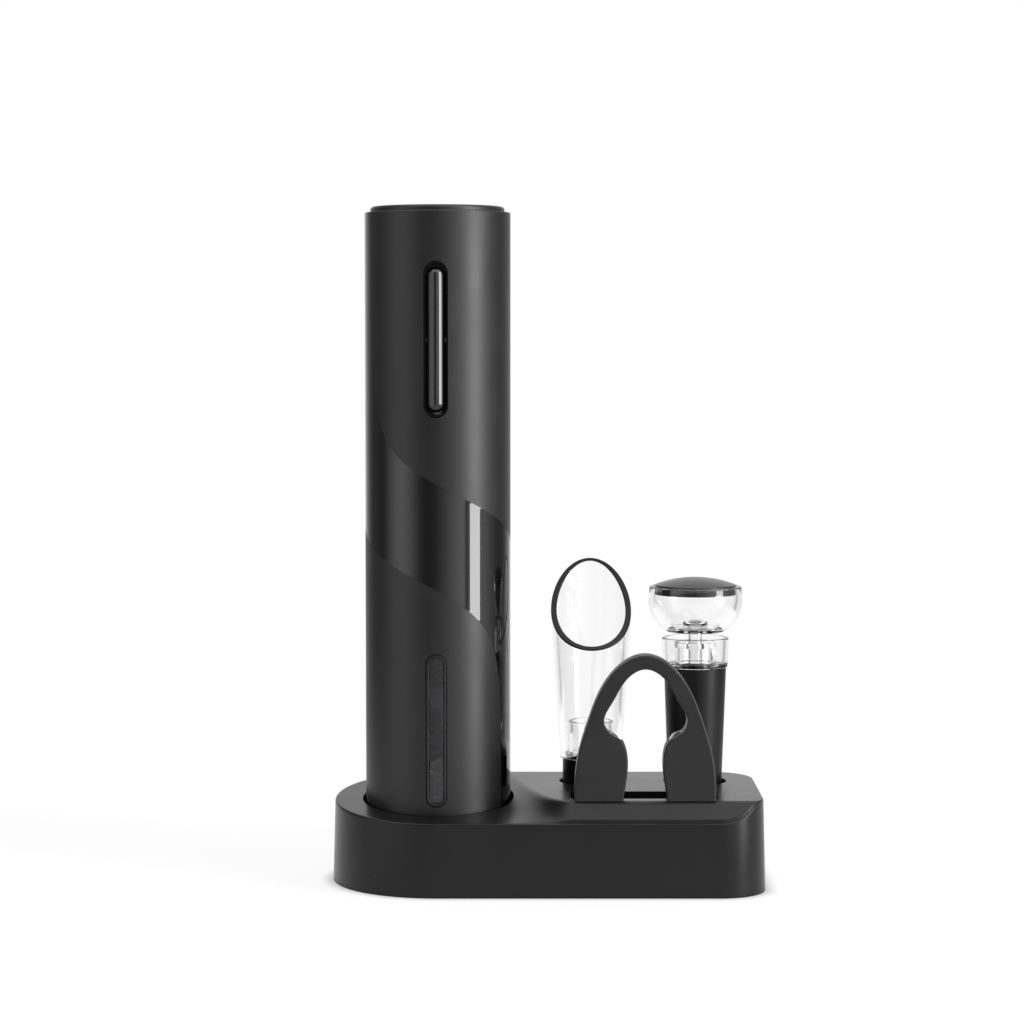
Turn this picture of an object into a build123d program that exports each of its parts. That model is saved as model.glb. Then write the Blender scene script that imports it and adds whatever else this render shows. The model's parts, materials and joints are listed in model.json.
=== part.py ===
from build123d import *
import os
from math import acos, asin, atan, cos, degrees, hypot, pi, radians, sin, sqrt, tan, tanh

# An electric wine opener in its stand, with foil cutter, pourer and vacuum stopper.
# Millimetres, +Z up, +X right, +Y to the back, origin under the middle of the base.

# Fits
run_fit = 0.06          # radial play of a turning shaft
slip_fit = 0.3          # play of a piece that is dropped or slid in
seat_fit = 0.05         # play of a piece that is pressed or glued in
past = 1.0              # a cutting shape runs this far past the face it cuts

# Base
base_length = 148.1
base_depth = 72.8
base_corner = 16.0
base_draft = 1.5        # degrees
base_wall = 2.2
base_roof = 2.2
platform_height = 31.6
front_edge_height = 24.7
ridge_setback = 7.0     # platform ridge behind the front top edge
swoosh_start = -14.0    # the tilted left deck begins to turn into the platform here
swoosh_end = 9.0
foot_stand = 0.6        # base wall above the table
foot_radius = 5.0
foot_thick = 1.0
plate_thick = 2.2
boss_radius = 3.2
screw_radius = 1.25
screw_head = 2.5
screw_head_thick = 1.2
base_screw_length = 8.0
screw_hole_room = 3.0   # hole beyond the screw's end
screw_inset_x = 9.5     # right-hand screws from the end
screw_inset_y = 8.5     # screws from the front and back
boss_clear = 0.5        # left-hand bosses from the opener's well
foot_inset = 17.5       # right-hand feet from the end, front and back
foot_reach = 14.0       # left-hand feet from the opener's axis, both ways

# Places on the base
accessory_pitch = 36.6  # pourer to stopper
accessory_inset = 41.2  # cutter's middle from the right-hand end
pair_offset = 1.1       # pourer and stopper's middle to the right of the cutter's
accessory_setback = 20.6  # pourer and stopper from the back

# Opener
opener_radius = 25.0
opener_bottom = 8.5
sleeve_top = 230.0
sleeve_bore = 22.3
well_play = 1.4
ribbon_thick = 1.2
cap_step = 2.0          # the cap's edge stands inside the sleeve's
cap_rise = 2.0
cap_round = 0.7
spigot_depth = 4.0
spigot_wall = 1.7
cap_room = 2.9          # between the top shelf and the cap's spigot

# Glossy ribbon: both edges run as a tanh of the height
ribbon_middle = 120.3
ribbon_rise = 21.6      # height between the two edges' middles
ribbon_turn = 93.0      # degrees, half the sweep of an edge
ribbon_lean = 32.0      # degrees from the front
ribbon_span = 19.7      # height scale of the sweep

# Rocker button
button_drop = 43.3     # button's middle below the sleeve's top
button_length = 48.5
button_width = 5.4
button_proud = 0.2
button_depth = 4.6
button_gap = 0.3
button_round = 1.94
surround_length = 52.5
surround_width = 8.2
surround_recess = 0.7
surround_flange = 1.4
surround_rim = 1.8
surround_sink = 0.7     # flange behind the bore, so that its flat face clears it
pivot_depth = 3.5       # pivot behind the sleeve's surface
pivot_radius = 0.8
nub_offset = 18.0
nub_radius = 1.2
nub_length = 1.9

# Window
window_middle = 54.85
window_length = 52.1
window_width = 7.3
window_recess = 0.25
window_rim = 1.6
view_width = 5.0
view_end = 2.4          # clear view ends this far inside the lens
view_relief = 0.2       # hollow stops this far behind the lens flange's face

# Bottle guide
neck_radius = 16.5
neck_flare = 2.5
flare_height = 5.5
guide_wall = 2.8
stop_height = 61.7
stop_thick = 6.9
cork_radius = 13.0
guide_flange = 3.0
flange_cone = 1.0
lens_flat = 1.0         # depth of the flat that the lens flange lies on
lens_play = 0.5

# Worm
wire_radius = 1.6
worm_radius = 2.9
worm_pitch = 9.6
worm_floor = 24.0       # no full turn starts lower than this
tip_length = 6.0
tip_radius = 0.15
hub_radius = 5.0
hub_length = 14.0
hub_gap = 1.0           # hub below the bush

# Two planetary stages
gear_module = 0.6
sun_teeth = 15
planet_teeth = 15
ring_teeth = 45
pressure_angle = 20.0   # degrees
dedendum = 1.25         # in modules
backlash = 0.08
gear_width = 6.0
gear_gap = 0.4
carrier_thick = 3.0
planet_pin = 1.2
output_radius = 2.5
cover_thick = 2.0
bush_radius = 4.5
bush_flange = 6.5
bush_drop = 4.0         # bush boss below the cover
ring_wall = 2.4
motor_plate_thick = 2.0
motor_radius = 13.85
motor_length = 31.0
motor_shaft = 1.0
motor_shaft_depth = 9.0
motor_nose = 3.0        # hole round the pinion
motor_boss = 5.0        # rear boss
motor_edge = 1.0        # chamfer
motor_screw_circle = 8.0
motor_screw_angle = 60.0  # degrees
motor_screw_bite = 4.0
gear_screw_circle = 19.3
gear_screw_angle = 30.0  # degrees

# Chassis, cells and boards
chassis_wall = 1.7
shelf_gap = 3.0         # chassis shelf above the motor
shelf_thick = 2.0
cell_radius = 7.1
cell_length = 50.0
cell_spread = 7.4
cell_back = 6.0
cell_button = 1.0       # raised end
cell_button_radius = 2.84
contact_thick = 0.4
board_thick = 1.6
board_width = 18.0
board_setback = 8.8     # control board's face behind the sleeve's surface
switch_size = 6.0
switch_thick = 1.2
plunger_length = 0.5
plunger_radius = 1.68
charge_width = 16.0
charge_height = 24.0
charge_gap = 1.4        # behind the cells
usb_width = 9.0
usb_height = 3.3
usb_wall = 0.35
usb_depth = 6.0
usb_lift = 2.0          # socket above the shelf
usb_tongue = 6.75
usb_tongue_length = 4.8

# Foil cutter
cutter_thick = 8.0
cutter_height = 49.35
cutter_half = 23.88
cutter_crown = 4.83      # material over the inner arch
cutter_foot = 7.4       # inner edge of a foot from the middle
cutter_heel = 2.95       # upright end of the outer curve
cutter_round = 0.5
cutter_overhang = 0.2   # front face before the ridge
tongue_thick = 7.8
tongue_drop = 10.0
tongue_rise = 8.0
tongue_inset = 0.75     # from the foot's edges
slot_setback = 5.4      # cutter slot behind the ridge
slot_play = 1.1
slot_ledge = 3.0
slot_ledge_width = 6.6
wheel_radius = 4.0
wheel_thick = 0.6
wheel_slot = 1.2
wheel_play = 0.5
wheel_pin = 0.9
pin_inset = 0.5         # pin's ends inside the faces

# Pourer
socket_radius = 11.0
socket_wall = 1.8
pourer_bottom = 12.0
plug_radius = 9.9
plug_top = 40.05
plug_lead = 1.5         # chamfer at the plug's end
fin_rise = 0.6
fin_root = 0.6
fin_count = 4
fin_margin = 4.0        # plain length at the plug's ends
plug_lip = 1.6          # stop under the tube
tube_radius = 7.85
tube_wall = 1.25
tube_bottom = 17.0
tube_top = 52.95
spout_wall = 1.7
spout_foot = 10.7
spout_knee = 11.15
spout_knee_height = 47.4
spout_mouth = 15.43
spout_top = 111.0
lip_height = 91.3       # slanted cut on the axis
lip_slope = 1.06
lip_radius = 131.0
lip_thick = 1.7

# Vacuum stopper
stopper_bottom = 10.0
sleeve_foot = 8.7
sleeve_shoulder = 10.9
sleeve_height = 70.75
sleeve_edge = 0.8       # rounded end
sleeve_end = 3.0        # closed end
collar_foot = 11.4
collar_mouth = 11.8
collar_top = 82.3
collar_wall = 1.6
collar_floor = 2.0
barrel_radius = 7.2
barrel_bore = 5.6
barrel_bottom = 17.0
rod_guide_drop = 1.5     # rod guide below the collar's top
rod_guide_thick = 2.0
valve_radius = 3.0
valve_tip = 3.0
rod_radius = 2.3
rod_bottom = 28.0
seal_height = 5.0
seal_play = 0.1
seal_lip = 0.8
seal_lip_height = 1.5
head_bottom = 84.35
head_radius = 16.25
head_wall = 1.9
head_rim = 96.9
head_top = 100.4
head_boss = 4.2
boss_height = 4.0
boss_end = 1.0          # closed end over the rod's hole
rod_bite = 3.5          # rod in the boss
pump_cap_side = 3.2
pump_cap_stand = 0.4    # cap's side above the bowl's rim
pump_cap_apex = 103.45

# Worked-out places
opener_x = -(base_length - base_depth) / 2
accessory_x = base_length / 2 - accessory_inset
pourer_x = accessory_x + pair_offset - accessory_pitch / 2
stopper_x = pourer_x + accessory_pitch
accessory_y = base_depth / 2 - accessory_setback
plate_bottom = foot_thick
plate_top = plate_bottom + plate_thick
front_y = -(base_depth / 2 - front_edge_height * tan(radians(base_draft)))
ridge_y = front_y + ridge_setback
well_radius = opener_radius + well_play
well_outside = well_radius + base_wall
deck_over = platform_height + past
slot_front = ridge_y + slot_setback
slot_length = 2 * (cutter_half + slot_play)
slot_back = slot_front + tongue_thick + 2 * slip_fit
ledge_back = slot_back + slot_ledge_width
slot_floor = platform_height - tongue_drop - slip_fit
ring_pitch = gear_module * ring_teeth / 2
sun_pitch = gear_module * sun_teeth / 2
planet_pitch = gear_module * planet_teeth / 2
carrier_circle = sun_pitch + planet_pitch
ring_root = ring_pitch + dedendum * gear_module
carrier_radius = ring_pitch - gear_module - gear_gap
inner_radius = sleeve_bore - slip_fit

# The stack inside the opener, from the cap down to the bottle guide
top_shelf = sleeve_top - spigot_depth - cap_room - shelf_thick
cell_top = top_shelf - contact_thick
cell_bottom = cell_top - cell_length
shelf_top = cell_bottom - contact_thick
shelf_bottom = shelf_top - shelf_thick
motor_top = shelf_bottom - shelf_gap
motor_bottom = motor_top - motor_length
motor_plate_bottom = motor_bottom - motor_plate_thick
high_gears = motor_plate_bottom - gear_width - 2 * gear_gap
high_plate = high_gears - carrier_thick - gear_gap
low_gears = high_plate - gear_width - 2 * gear_gap
low_plate = low_gears - carrier_thick - gear_gap
cover_top = low_plate - gear_gap
guide_top = cover_top - cover_thick
bush_bottom = guide_top - bush_drop
hub_top = bush_bottom - hub_gap
worm_top = hub_top - hub_length
worm_turns = int((worm_top + wire_radius - worm_floor) / worm_pitch)
button_middle = sleeve_top - button_drop
board_face = -(opener_radius - board_setback)
board_back = board_face + board_thick
charge_front = cell_back + cell_radius + charge_gap
charge_back = charge_front + board_thick
usb_middle = shelf_top + usb_lift + usb_height / 2
pivot_y = -(opener_radius - pivot_depth)


def tube(outer, inner, low, high):
    return rod(outer, low, high) - rod(inner, low - past, high + past)


def rod(radius, low, high):
    return Pos(0, 0, low) * Cylinder(radius, high - low, align=(Align.CENTER, Align.CENTER, Align.MIN))


def block(x_size, y_low, y_high, low, high):
    box = Box(x_size, y_high - y_low, high - low, align=(Align.CENTER, Align.MIN, Align.MIN))
    return Pos(0, y_low, low) * box


def turned(*profile):
    return revolve(Plane.XZ * Polygon(*profile), Axis.Z)


def upright_slot(length, width, middle, back, front):
    plane = Plane(origin=(0, back, middle), x_dir=(1, 0, 0), z_dir=(0, -1, 0))
    return extrude(plane * SlotOverall(length, width, rotation=90), amount=back - front)


def around(count, radius, shape, start=0):
    return [Rot(0, 0, start + 360 * i / count) * Pos(radius, 0, 0) * shape for i in range(count)]


# Base

def deck_outline(inset):
    end = base_depth / 2 - inset
    right = base_length / 2 - inset
    corner = base_corner - inset
    slant = corner * (1 - sqrt(0.5))
    half = [
        Line((opener_x, -end), (right - corner, -end)),
        ThreePointArc((right - corner, -end), (right - slant, -end + slant), (right, -end + corner)),
        Line((right, -end + corner), (right, end - corner)),
        ThreePointArc((right, end - corner), (right - slant, end - slant), (right - corner, end)),
        Line((right - corner, end), (opener_x, end)),
        ThreePointArc((opener_x, end), (opener_x - end, 0), (opener_x, -end)),
    ]
    return make_face(half)


def drafted(inset, low, high):
    # walls lean in by the draft from the table upwards
    foot = inset + low * tan(radians(base_draft))
    return Pos(0, 0, low) * extrude(deck_outline(foot), amount=high - low, taper=base_draft)


def deck_section(x, ridge):
    # side view of the deck: front edge, up to the ridge, then level to the back
    reach = base_depth / 2 + past
    slope = (platform_height - front_edge_height) / (ridge - front_y)
    plane = Plane(origin=(x, 0, 0), x_dir=(0, 1, 0), z_dir=(1, 0, 0))
    outline = [
        (-reach, -reach),
        (reach, -reach),
        (reach, platform_height),
        (ridge, platform_height),
        (-reach, front_edge_height - slope * (reach + front_y)),
    ]
    return plane * Polygon(*outline)


def deck_sections():
    # the ridge swings from the back edge on the left to the front on the right
    back = -front_y
    span = swoosh_end - swoosh_start
    swing = back - ridge_y
    sections = []
    for i in range(5):
        share = i / 4
        eased = 1 - (1 - share) ** 2.2
        sections.append(deck_section(swoosh_start + span * share, back - swing * eased))
    return sections


def deck_form():
    sections = deck_sections()
    left = extrude(sections[0], amount=-base_length)
    right = extrude(sections[-1], amount=base_length)
    return left + loft(sections) + right


def roof_form():
    # underside of the deck: the tilted roof runs on below the swoosh
    sections = deck_sections()
    left = extrude(sections[0], amount=-base_length) + extrude(sections[0], amount=swoosh_end - swoosh_start)
    return Pos(0, 0, -base_roof) * (left + extrude(sections[-1], amount=base_length))


def base_screw_places():
    # two beside the opener's well, as far left as it lets the bosses go, and two at the right-hand end
    y = base_depth / 2 - screw_inset_y
    reach = well_outside + boss_radius + boss_clear
    left = opener_x + sqrt(max(0, reach ** 2 - y ** 2))
    right = base_length / 2 - screw_inset_x
    return [(x, side * y) for x in (left, right) for side in (-1, 1)]


def foot_places():
    left = [(opener_x - foot_reach, side * foot_reach) for side in (-1, 1)]
    right = [(base_length / 2 - foot_inset, side * (base_depth / 2 - foot_inset)) for side in (-1, 1)]
    return left + right


def socket_places():
    return [(pourer_x, pourer_bottom), (stopper_x, stopper_bottom)]


def base_shell():
    outside = drafted(0, foot_stand, deck_over) & deck_form()
    hollow = drafted(base_wall, foot_stand - past, deck_over) & roof_form()
    wells = Pos(opener_x, 0, 0) * rod(well_outside, opener_bottom - base_wall, deck_over)
    wells += Pos(accessory_x, 0, 0) * block(
        slot_length + 2 * socket_wall, slot_front - socket_wall, ledge_back + socket_wall,
        slot_floor - socket_wall, platform_height)
    for x, bottom in socket_places():
        socket = rod(socket_radius + socket_wall, bottom - socket_wall, platform_height)
        wells += Pos(x, accessory_y, 0) * socket
    for x, y in base_screw_places():
        wells += Pos(x, y, 0) * rod(boss_radius, plate_top, platform_height)
    shell = outside - hollow + (wells & outside)
    shell -= Pos(opener_x, 0, 0) * rod(well_radius, opener_bottom, deck_over)
    shell -= Pos(accessory_x, 0, 0) * block(slot_length, slot_front, slot_back, slot_floor, deck_over)
    shell -= Pos(accessory_x, 0, 0) * block(
        slot_length, slot_front, ledge_back, platform_height - slot_ledge, deck_over)
    for x, bottom in socket_places():
        shell -= Pos(x, accessory_y, 0) * rod(socket_radius, bottom, deck_over)
    for x, y in base_screw_places():
        hole_top = plate_bottom + base_screw_length + screw_hole_room
        shell -= Pos(x, y, 0) * rod(screw_radius + seat_fit, plate_top - past, hole_top)
    return shell


def base_plate():
    plate = drafted(base_wall + slip_fit, plate_bottom, plate_top)
    for x, y in base_screw_places():
        plate -= Pos(x, y, 0) * rod(screw_radius + slip_fit, plate_bottom - past, plate_top + past)
        seat_top = plate_bottom + screw_head_thick
        plate -= Pos(x, y, 0) * rod(screw_head + slip_fit, plate_bottom - past, seat_top)
    return plate


def machine_screw(length):
    # head down at the origin, shank upwards
    return rod(screw_head, 0, screw_head_thick) + rod(screw_radius, screw_head_thick, length)


def base_screws():
    return [Pos(x, y, plate_bottom) * machine_screw(base_screw_length) for x, y in base_screw_places()]


def base_feet():
    return [Pos(x, y, 0) * rod(foot_radius, 0, foot_thick) for x, y in foot_places()]


# Opener, outside. Everything of the opener is drawn on its own axis and moved to its place at the end.

def ribbon_edge(height, side):
    # angle from the front, side +1 for the upper edge and -1 for the lower one
    middle = ribbon_middle + side * ribbon_rise / 2
    return side * ribbon_lean - ribbon_turn * tanh((height - middle) / ribbon_span)


def ribbon_wedge(extra):
    # sector between the two edges, lofted up the axis, closest together where the sweep is steep
    reach = 3 * opener_radius
    half = max(sleeve_top - ribbon_middle, ribbon_middle - opener_bottom) + 5 * past
    steps = 7
    sections = []
    for i in range(-steps, steps + 1):
        share = i / steps
        height = ribbon_middle + half * (0.25 * share + 0.75 * share ** 3)
        low = ribbon_edge(height, -1) - extra
        high = ribbon_edge(height, 1) + extra
        angles = [radians(low + (high - low) * k / 3) for k in range(4)]
        corners = [(reach * sin(a), -reach * cos(a)) for a in angles]
        sections.append(Pos(0, 0, height) * Polygon((0, 0), *corners))
    return loft(sections)


ribbon_floor = opener_radius - ribbon_thick
seam_turn = degrees(seat_fit / opener_radius)


def sleeve_slots():
    front = -opener_radius - past
    button = upright_slot(surround_length, surround_width, button_middle, 0, front)
    return button + upright_slot(window_length, window_width, window_middle, 0, front)


def outer_sleeve():
    sleeve = tube(opener_radius, sleeve_bore, opener_bottom, sleeve_top)
    seat = tube(opener_radius + past, ribbon_floor, opener_bottom - past, sleeve_top + past)
    sleeve -= seat & ribbon_wedge(0)
    return sleeve - sleeve_slots() - usb_opening(slip_fit)


def gloss_ribbon():
    skin = tube(opener_radius, ribbon_floor + seat_fit, opener_bottom, sleeve_top)
    return (skin & ribbon_wedge(-seam_turn)) - sleeve_slots()


def top_cap():
    edge = opener_radius - cap_step
    plate = rod(edge, sleeve_top, sleeve_top + cap_rise)
    plate = fillet(plate.edges().group_by(Axis.Z)[-1], cap_round)
    return plate + tube(inner_radius, inner_radius - spigot_wall, sleeve_top - spigot_depth, sleeve_top)


def button_surround():
    front = -(opener_radius - surround_recess)
    flange_face = -(inner_radius - surround_sink)
    flange_back = flange_face + surround_flange
    rim_length = surround_length + 2 * surround_rim
    rim_width = surround_width + 2 * surround_rim
    frame = upright_slot(
        surround_length - 2 * seat_fit, surround_width - 2 * seat_fit, button_middle, flange_face, front)
    frame += upright_slot(rim_length, rim_width, button_middle, flange_back, flange_face)
    opening_length = button_length + 2 * button_gap
    opening_width = button_width + 2 * button_gap
    frame -= upright_slot(opening_length, opening_width, button_middle, 0, -opener_radius - past)
    return frame - cross_pin(pivot_radius + seat_fit, rim_width)


def cross_pin(radius, length):
    return Pos(0, pivot_y, button_middle) * Rot(0, 90, 0) * Cylinder(radius, length)


def rocker_button():
    front = -(opener_radius + button_proud)
    back = front + button_depth
    bar = upright_slot(button_length, button_width, button_middle, back, front)
    bar = fillet(bar.edges().group_by(Axis.Y)[0], button_round)
    for side in (-1, 1):
        nub = Rot(90, 0, 0) * Cylinder(nub_radius, nub_length, align=(Align.CENTER, Align.CENTER, Align.MAX))
        bar += Pos(0, back, button_middle + side * nub_offset) * nub
    return bar - cross_pin(pivot_radius + run_fit, 2 * button_width)


def button_pin():
    return cross_pin(pivot_radius, surround_width - 2 * slip_fit)


def window_lens():
    pane = upright_slot(
        window_length - 2 * seat_fit, window_width - 2 * seat_fit, window_middle,
        -neck_radius, -opener_radius)
    flange = upright_slot(
        window_length + 2 * window_rim, window_width + 2 * window_rim, window_middle,
        -neck_radius, -inner_radius)
    hollow = upright_slot(
        window_length - 2 * view_end, view_width, window_middle, 0, -inner_radius + view_relief)
    lens = pane & rod(opener_radius - window_recess, 0, sleeve_top)
    lens += flange & rod(inner_radius, 0, sleeve_top)
    return lens - rod(neck_radius + guide_wall + slip_fit, 0, sleeve_top) - hollow


def usb_opening(play):
    slot = SlotOverall(usb_width + 2 * play, usb_height + 2 * play)
    plane = Plane(origin=(0, charge_back, usb_middle), x_dir=(1, 0, 0), z_dir=(0, 1, 0))
    return extrude(plane * slot, amount=opener_radius - charge_back + past)


# Opener, inside

def bottle_guide():
    outer = neck_radius + guide_wall
    chamber = cork_radius + guide_wall
    guide = turned(
        (neck_radius + neck_flare, opener_bottom),
        (inner_radius, opener_bottom),
        (inner_radius, opener_bottom + guide_flange),
        (outer, opener_bottom + guide_flange + flange_cone),
        (outer, stop_height + stop_thick / 2),
        (inner_radius, stop_height + stop_thick / 2),
        (inner_radius, stop_height + stop_thick),
        (chamber, stop_height + stop_thick),
        (chamber, guide_top - guide_flange),
        (inner_radius, guide_top - guide_flange),
        (inner_radius, guide_top),
        (cork_radius, guide_top),
        (cork_radius, stop_height),
        (neck_radius, stop_height),
        (neck_radius, opener_bottom + flare_height),
    )
    view_low = window_middle - window_length / 2 + view_end
    view_high = window_middle + window_length / 2 - view_end
    for low, high in ((view_low, stop_height), (stop_height + stop_thick, view_high)):
        guide -= block(view_width, -opener_radius, -cork_radius / 2, low, high)
    guide -= block(window_width + 2 * (window_rim + lens_play), -opener_radius, -outer + lens_flat,
                   stop_height, window_middle + window_length / 2 + window_rim + lens_play)
    for hole in gear_screw_holes(seat_fit, guide_top - guide_flange, guide_top):
        guide -= hole
    return guide


def gear_screw_holes(play, low, high):
    return around(3, gear_screw_circle, rod(screw_radius + play, low - past, high + past), gear_screw_angle)


def worm_path():
    # right-hand helix as pairs of tangent arcs, a quarter turn each
    rise = worm_pitch / (2 * pi)
    start = worm_top + wire_radius - worm_turns * worm_pitch

    def point(a):
        return Vector(worm_radius * cos(a), worm_radius * sin(a), start + rise * a)

    def heading(a):
        return Vector(-worm_radius * sin(a), worm_radius * cos(a), rise).normalized()

    arcs = []
    for i in range(4 * worm_turns):
        a, b = i * pi / 2, (i + 1) * pi / 2
        p, q, t, u = point(a), point(b), heading(a), heading(b)
        chord = q - p
        lean = chord.dot(t + u)
        spread = 2 * (1 - t.dot(u))
        reach = (sqrt(lean * lean + spread * chord.dot(chord)) - lean) / spread
        joint = (p + q + (t - u) * reach) * 0.5
        first = TangentArc(p, joint, tangent=t)
        arcs += [first, TangentArc(joint, q, tangent=first % 1)]
    return arcs, point(0), heading(0)


def worm_screw():
    arcs, start, heading = worm_path()
    coil = sweep(Plane(origin=start, z_dir=heading) * Circle(wire_radius), path=Wire(arcs))
    tip = Plane(origin=start, z_dir=-heading) * Cone(
        wire_radius, tip_radius, tip_length, align=(Align.CENTER, Align.CENTER, Align.MIN))
    hub = rod(hub_radius, worm_top, hub_top)
    hub -= rod(output_radius + seat_fit, hub_top - hub_length / 2, hub_top + past)
    gap = worm_pitch * cos(atan(worm_pitch / (2 * pi * worm_radius))) - 2 * wire_radius
    print(f"worm turns lie {gap:.2f} mm apart, hollow core {worm_radius - wire_radius:.2f} mm")
    return coil + tip + hub


def involute(angle):
    return tan(angle) - angle


def gear_face(teeth, tip, root, thicker):
    # straight chords on the involute flank at the base, pitch and tip circles
    pitch = gear_module * teeth / 2
    base = pitch * cos(radians(pressure_angle))
    half = (pi * gear_module / 2 + thicker) / (2 * pitch)
    stations = [max(root, base), pitch, tip]
    flank = []
    for r in stations:
        flank.append((r, half + involute(radians(pressure_angle)) - involute(acos(min(1, base / r)))))
    if root < base:
        flank.insert(0, (root, flank[0][1]))
    points = []
    for i in range(teeth):
        middle = 2 * pi * i / teeth
        for r, a in flank:
            points.append((r * cos(middle - a), r * sin(middle - a)))
        for r, a in reversed(flank):
            points.append((r * cos(middle + a), r * sin(middle + a)))
    return Polygon(*points)


def spur(teeth, low, high):
    pitch = gear_module * teeth / 2
    face = gear_face(teeth, pitch + gear_module, pitch - dedendum * gear_module, -backlash)
    return Pos(0, 0, low) * extrude(face, amount=high - low)


def ring_gear():
    gap = gear_face(ring_teeth, ring_root, ring_pitch - gear_module, backlash)
    flange_top = cover_top + cover_thick
    body = rod(ring_root + ring_wall, cover_top, motor_plate_bottom)
    body += rod(inner_radius, cover_top, flange_top)
    body -= Pos(0, 0, cover_top - past) * extrude(gap, amount=motor_plate_bottom - cover_top + 2 * past)
    for hole in gear_screw_holes(slip_fit, cover_top, flange_top):
        body -= hole
    return body


def gearbox_cover():
    cover = rod(inner_radius, guide_top, cover_top) + rod(bush_flange, bush_bottom, guide_top)
    cover -= rod(bush_radius + seat_fit, bush_bottom - past, cover_top + past)
    for hole in gear_screw_holes(slip_fit, guide_top, cover_top):
        cover -= hole
    return cover


def output_bush():
    return tube(bush_radius, output_radius + run_fit, bush_bottom, cover_top)


def gearbox_screws():
    head_top = cover_top + cover_thick + screw_head_thick
    length = head_top - (guide_top - guide_flange)
    screw = Pos(0, 0, head_top) * Rot(180, 0, 0) * machine_screw(length)
    return around(3, gear_screw_circle, screw, gear_screw_angle)


def planet_pins(low, high):
    return around(3, carrier_circle, rod(planet_pin, low, high))


def output_carrier():
    carrier = rod(carrier_radius, low_plate, low_plate + carrier_thick)
    carrier += rod(output_radius, hub_top - hub_length / 2 + gear_gap, low_plate)
    for pin in planet_pins(low_plate + carrier_thick, low_gears + gear_width + gear_gap):
        carrier += pin
    return carrier


def first_carrier():
    carrier = rod(carrier_radius, high_plate, high_plate + carrier_thick)
    carrier += spur(sun_teeth, low_gears, high_plate)
    for pin in planet_pins(high_plate + carrier_thick, high_gears + gear_width + gear_gap):
        carrier += pin
    return carrier


def planets(low):
    high = low + gear_width
    gear = spur(planet_teeth, low, high) - rod(planet_pin + run_fit, low - past, high + past)
    return around(3, carrier_circle, gear)


def motor_rotor():
    shaft = rod(motor_shaft, high_gears, motor_bottom + motor_shaft_depth)
    return spur(sun_teeth, high_gears, motor_plate_bottom) + shaft


def motor_screw_ring(shape):
    return around(2, motor_screw_circle, shape, motor_screw_angle)


def motor_plate():
    low = motor_plate_bottom
    plate = rod(inner_radius, low, motor_bottom) - rod(motor_nose, low - past, motor_bottom + past)
    hole = rod(screw_radius + slip_fit, low - past, motor_bottom + past)
    hole += rod(screw_head + slip_fit, low - past, low + screw_head_thick)
    for cut in motor_screw_ring(hole):
        plate -= cut
    return plate


def motor_can():
    can = rod(motor_radius, motor_bottom, motor_top)
    can = chamfer(can.edges().group_by(Axis.Z)[-1], motor_edge) + rod(motor_boss, motor_top, shelf_bottom)
    can -= rod(motor_shaft + run_fit, motor_bottom - past, motor_bottom + motor_shaft_depth + past)
    hole_top = motor_bottom + motor_screw_bite + past
    for hole in motor_screw_ring(rod(screw_radius + seat_fit, motor_bottom - past, hole_top)):
        can -= hole
    return can


def motor_screws():
    screw = machine_screw(motor_plate_thick + motor_screw_bite)
    return motor_screw_ring(Pos(0, 0, motor_plate_bottom) * screw)


def chassis():
    back = tube(inner_radius, inner_radius - chassis_wall, motor_bottom, top_shelf + shelf_thick)
    back -= block(4 * opener_radius, -2 * opener_radius, 0, 0, sleeve_top)
    reach = inner_radius - 2 * seat_fit
    shelves = rod(reach, shelf_bottom, shelf_top) + rod(reach, top_shelf, top_shelf + shelf_thick)
    shelves -= block(4 * opener_radius, -2 * opener_radius, board_back, 0, sleeve_top)
    return back + shelves - usb_opening(slip_fit)


def battery_cells():
    shoulder = cell_top - cell_button
    cell = rod(cell_radius, cell_bottom, shoulder) + rod(cell_button_radius, shoulder, cell_top)
    flipped = Pos(0, 0, cell_bottom + cell_top) * Rot(180, 0, 0) * cell
    return [Pos(-cell_spread, cell_back, 0) * cell, Pos(cell_spread, cell_back, 0) * flipped]


def battery_contacts():
    pad = block(2 * cell_spread + cell_radius, -cell_radius / 2, cell_radius / 2, shelf_top, cell_bottom)
    lower = [Pos(0, cell_back, 0) * pad]
    upper_pad = block(cell_radius, -cell_radius / 2, cell_radius / 2, cell_top, top_shelf)
    upper = [Pos(side * cell_spread, cell_back, 0) * upper_pad for side in (-1, 1)]
    return lower + upper


def control_board():
    return block(board_width, board_face, board_back, shelf_bottom, top_shelf + shelf_thick)


def tact_switches():
    switches = []
    for side in (-1, 1):
        middle = button_middle + side * nub_offset
        front = board_face - switch_thick
        case = block(switch_size, front, board_face, middle - switch_size / 2, middle + switch_size / 2)
        plunger = Rot(90, 0, 0) * Cylinder(
            plunger_radius, plunger_length, align=(Align.CENTER, Align.CENTER, Align.MIN))
        switches.append(case + Pos(0, front, middle) * plunger)
    return switches


def charge_board():
    return block(charge_width, charge_front, charge_back, shelf_top, shelf_top + charge_height)


def usb_socket():
    # oval steel shell with a tongue, its mouth level with the sleeve
    mouth = sqrt(opener_radius ** 2 - (usb_width / 2) ** 2)
    plane = Plane(origin=(0, charge_back, usb_middle), x_dir=(1, 0, 0), z_dir=(0, 1, 0))
    depth = mouth - charge_back
    shell = extrude(plane * SlotOverall(usb_width, usb_height), amount=depth)
    inside = SlotOverall(usb_width - 2 * usb_wall, usb_height - 2 * usb_wall)
    shell -= extrude(plane.offset(depth - usb_depth) * inside, amount=usb_depth + past)
    tongue = Rectangle(usb_tongue, 2 * usb_wall)
    return shell + extrude(plane.offset(depth - usb_depth) * tongue, amount=usb_tongue_length)


# Foil cutter, drawn from the front with its feet on the platform

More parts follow.
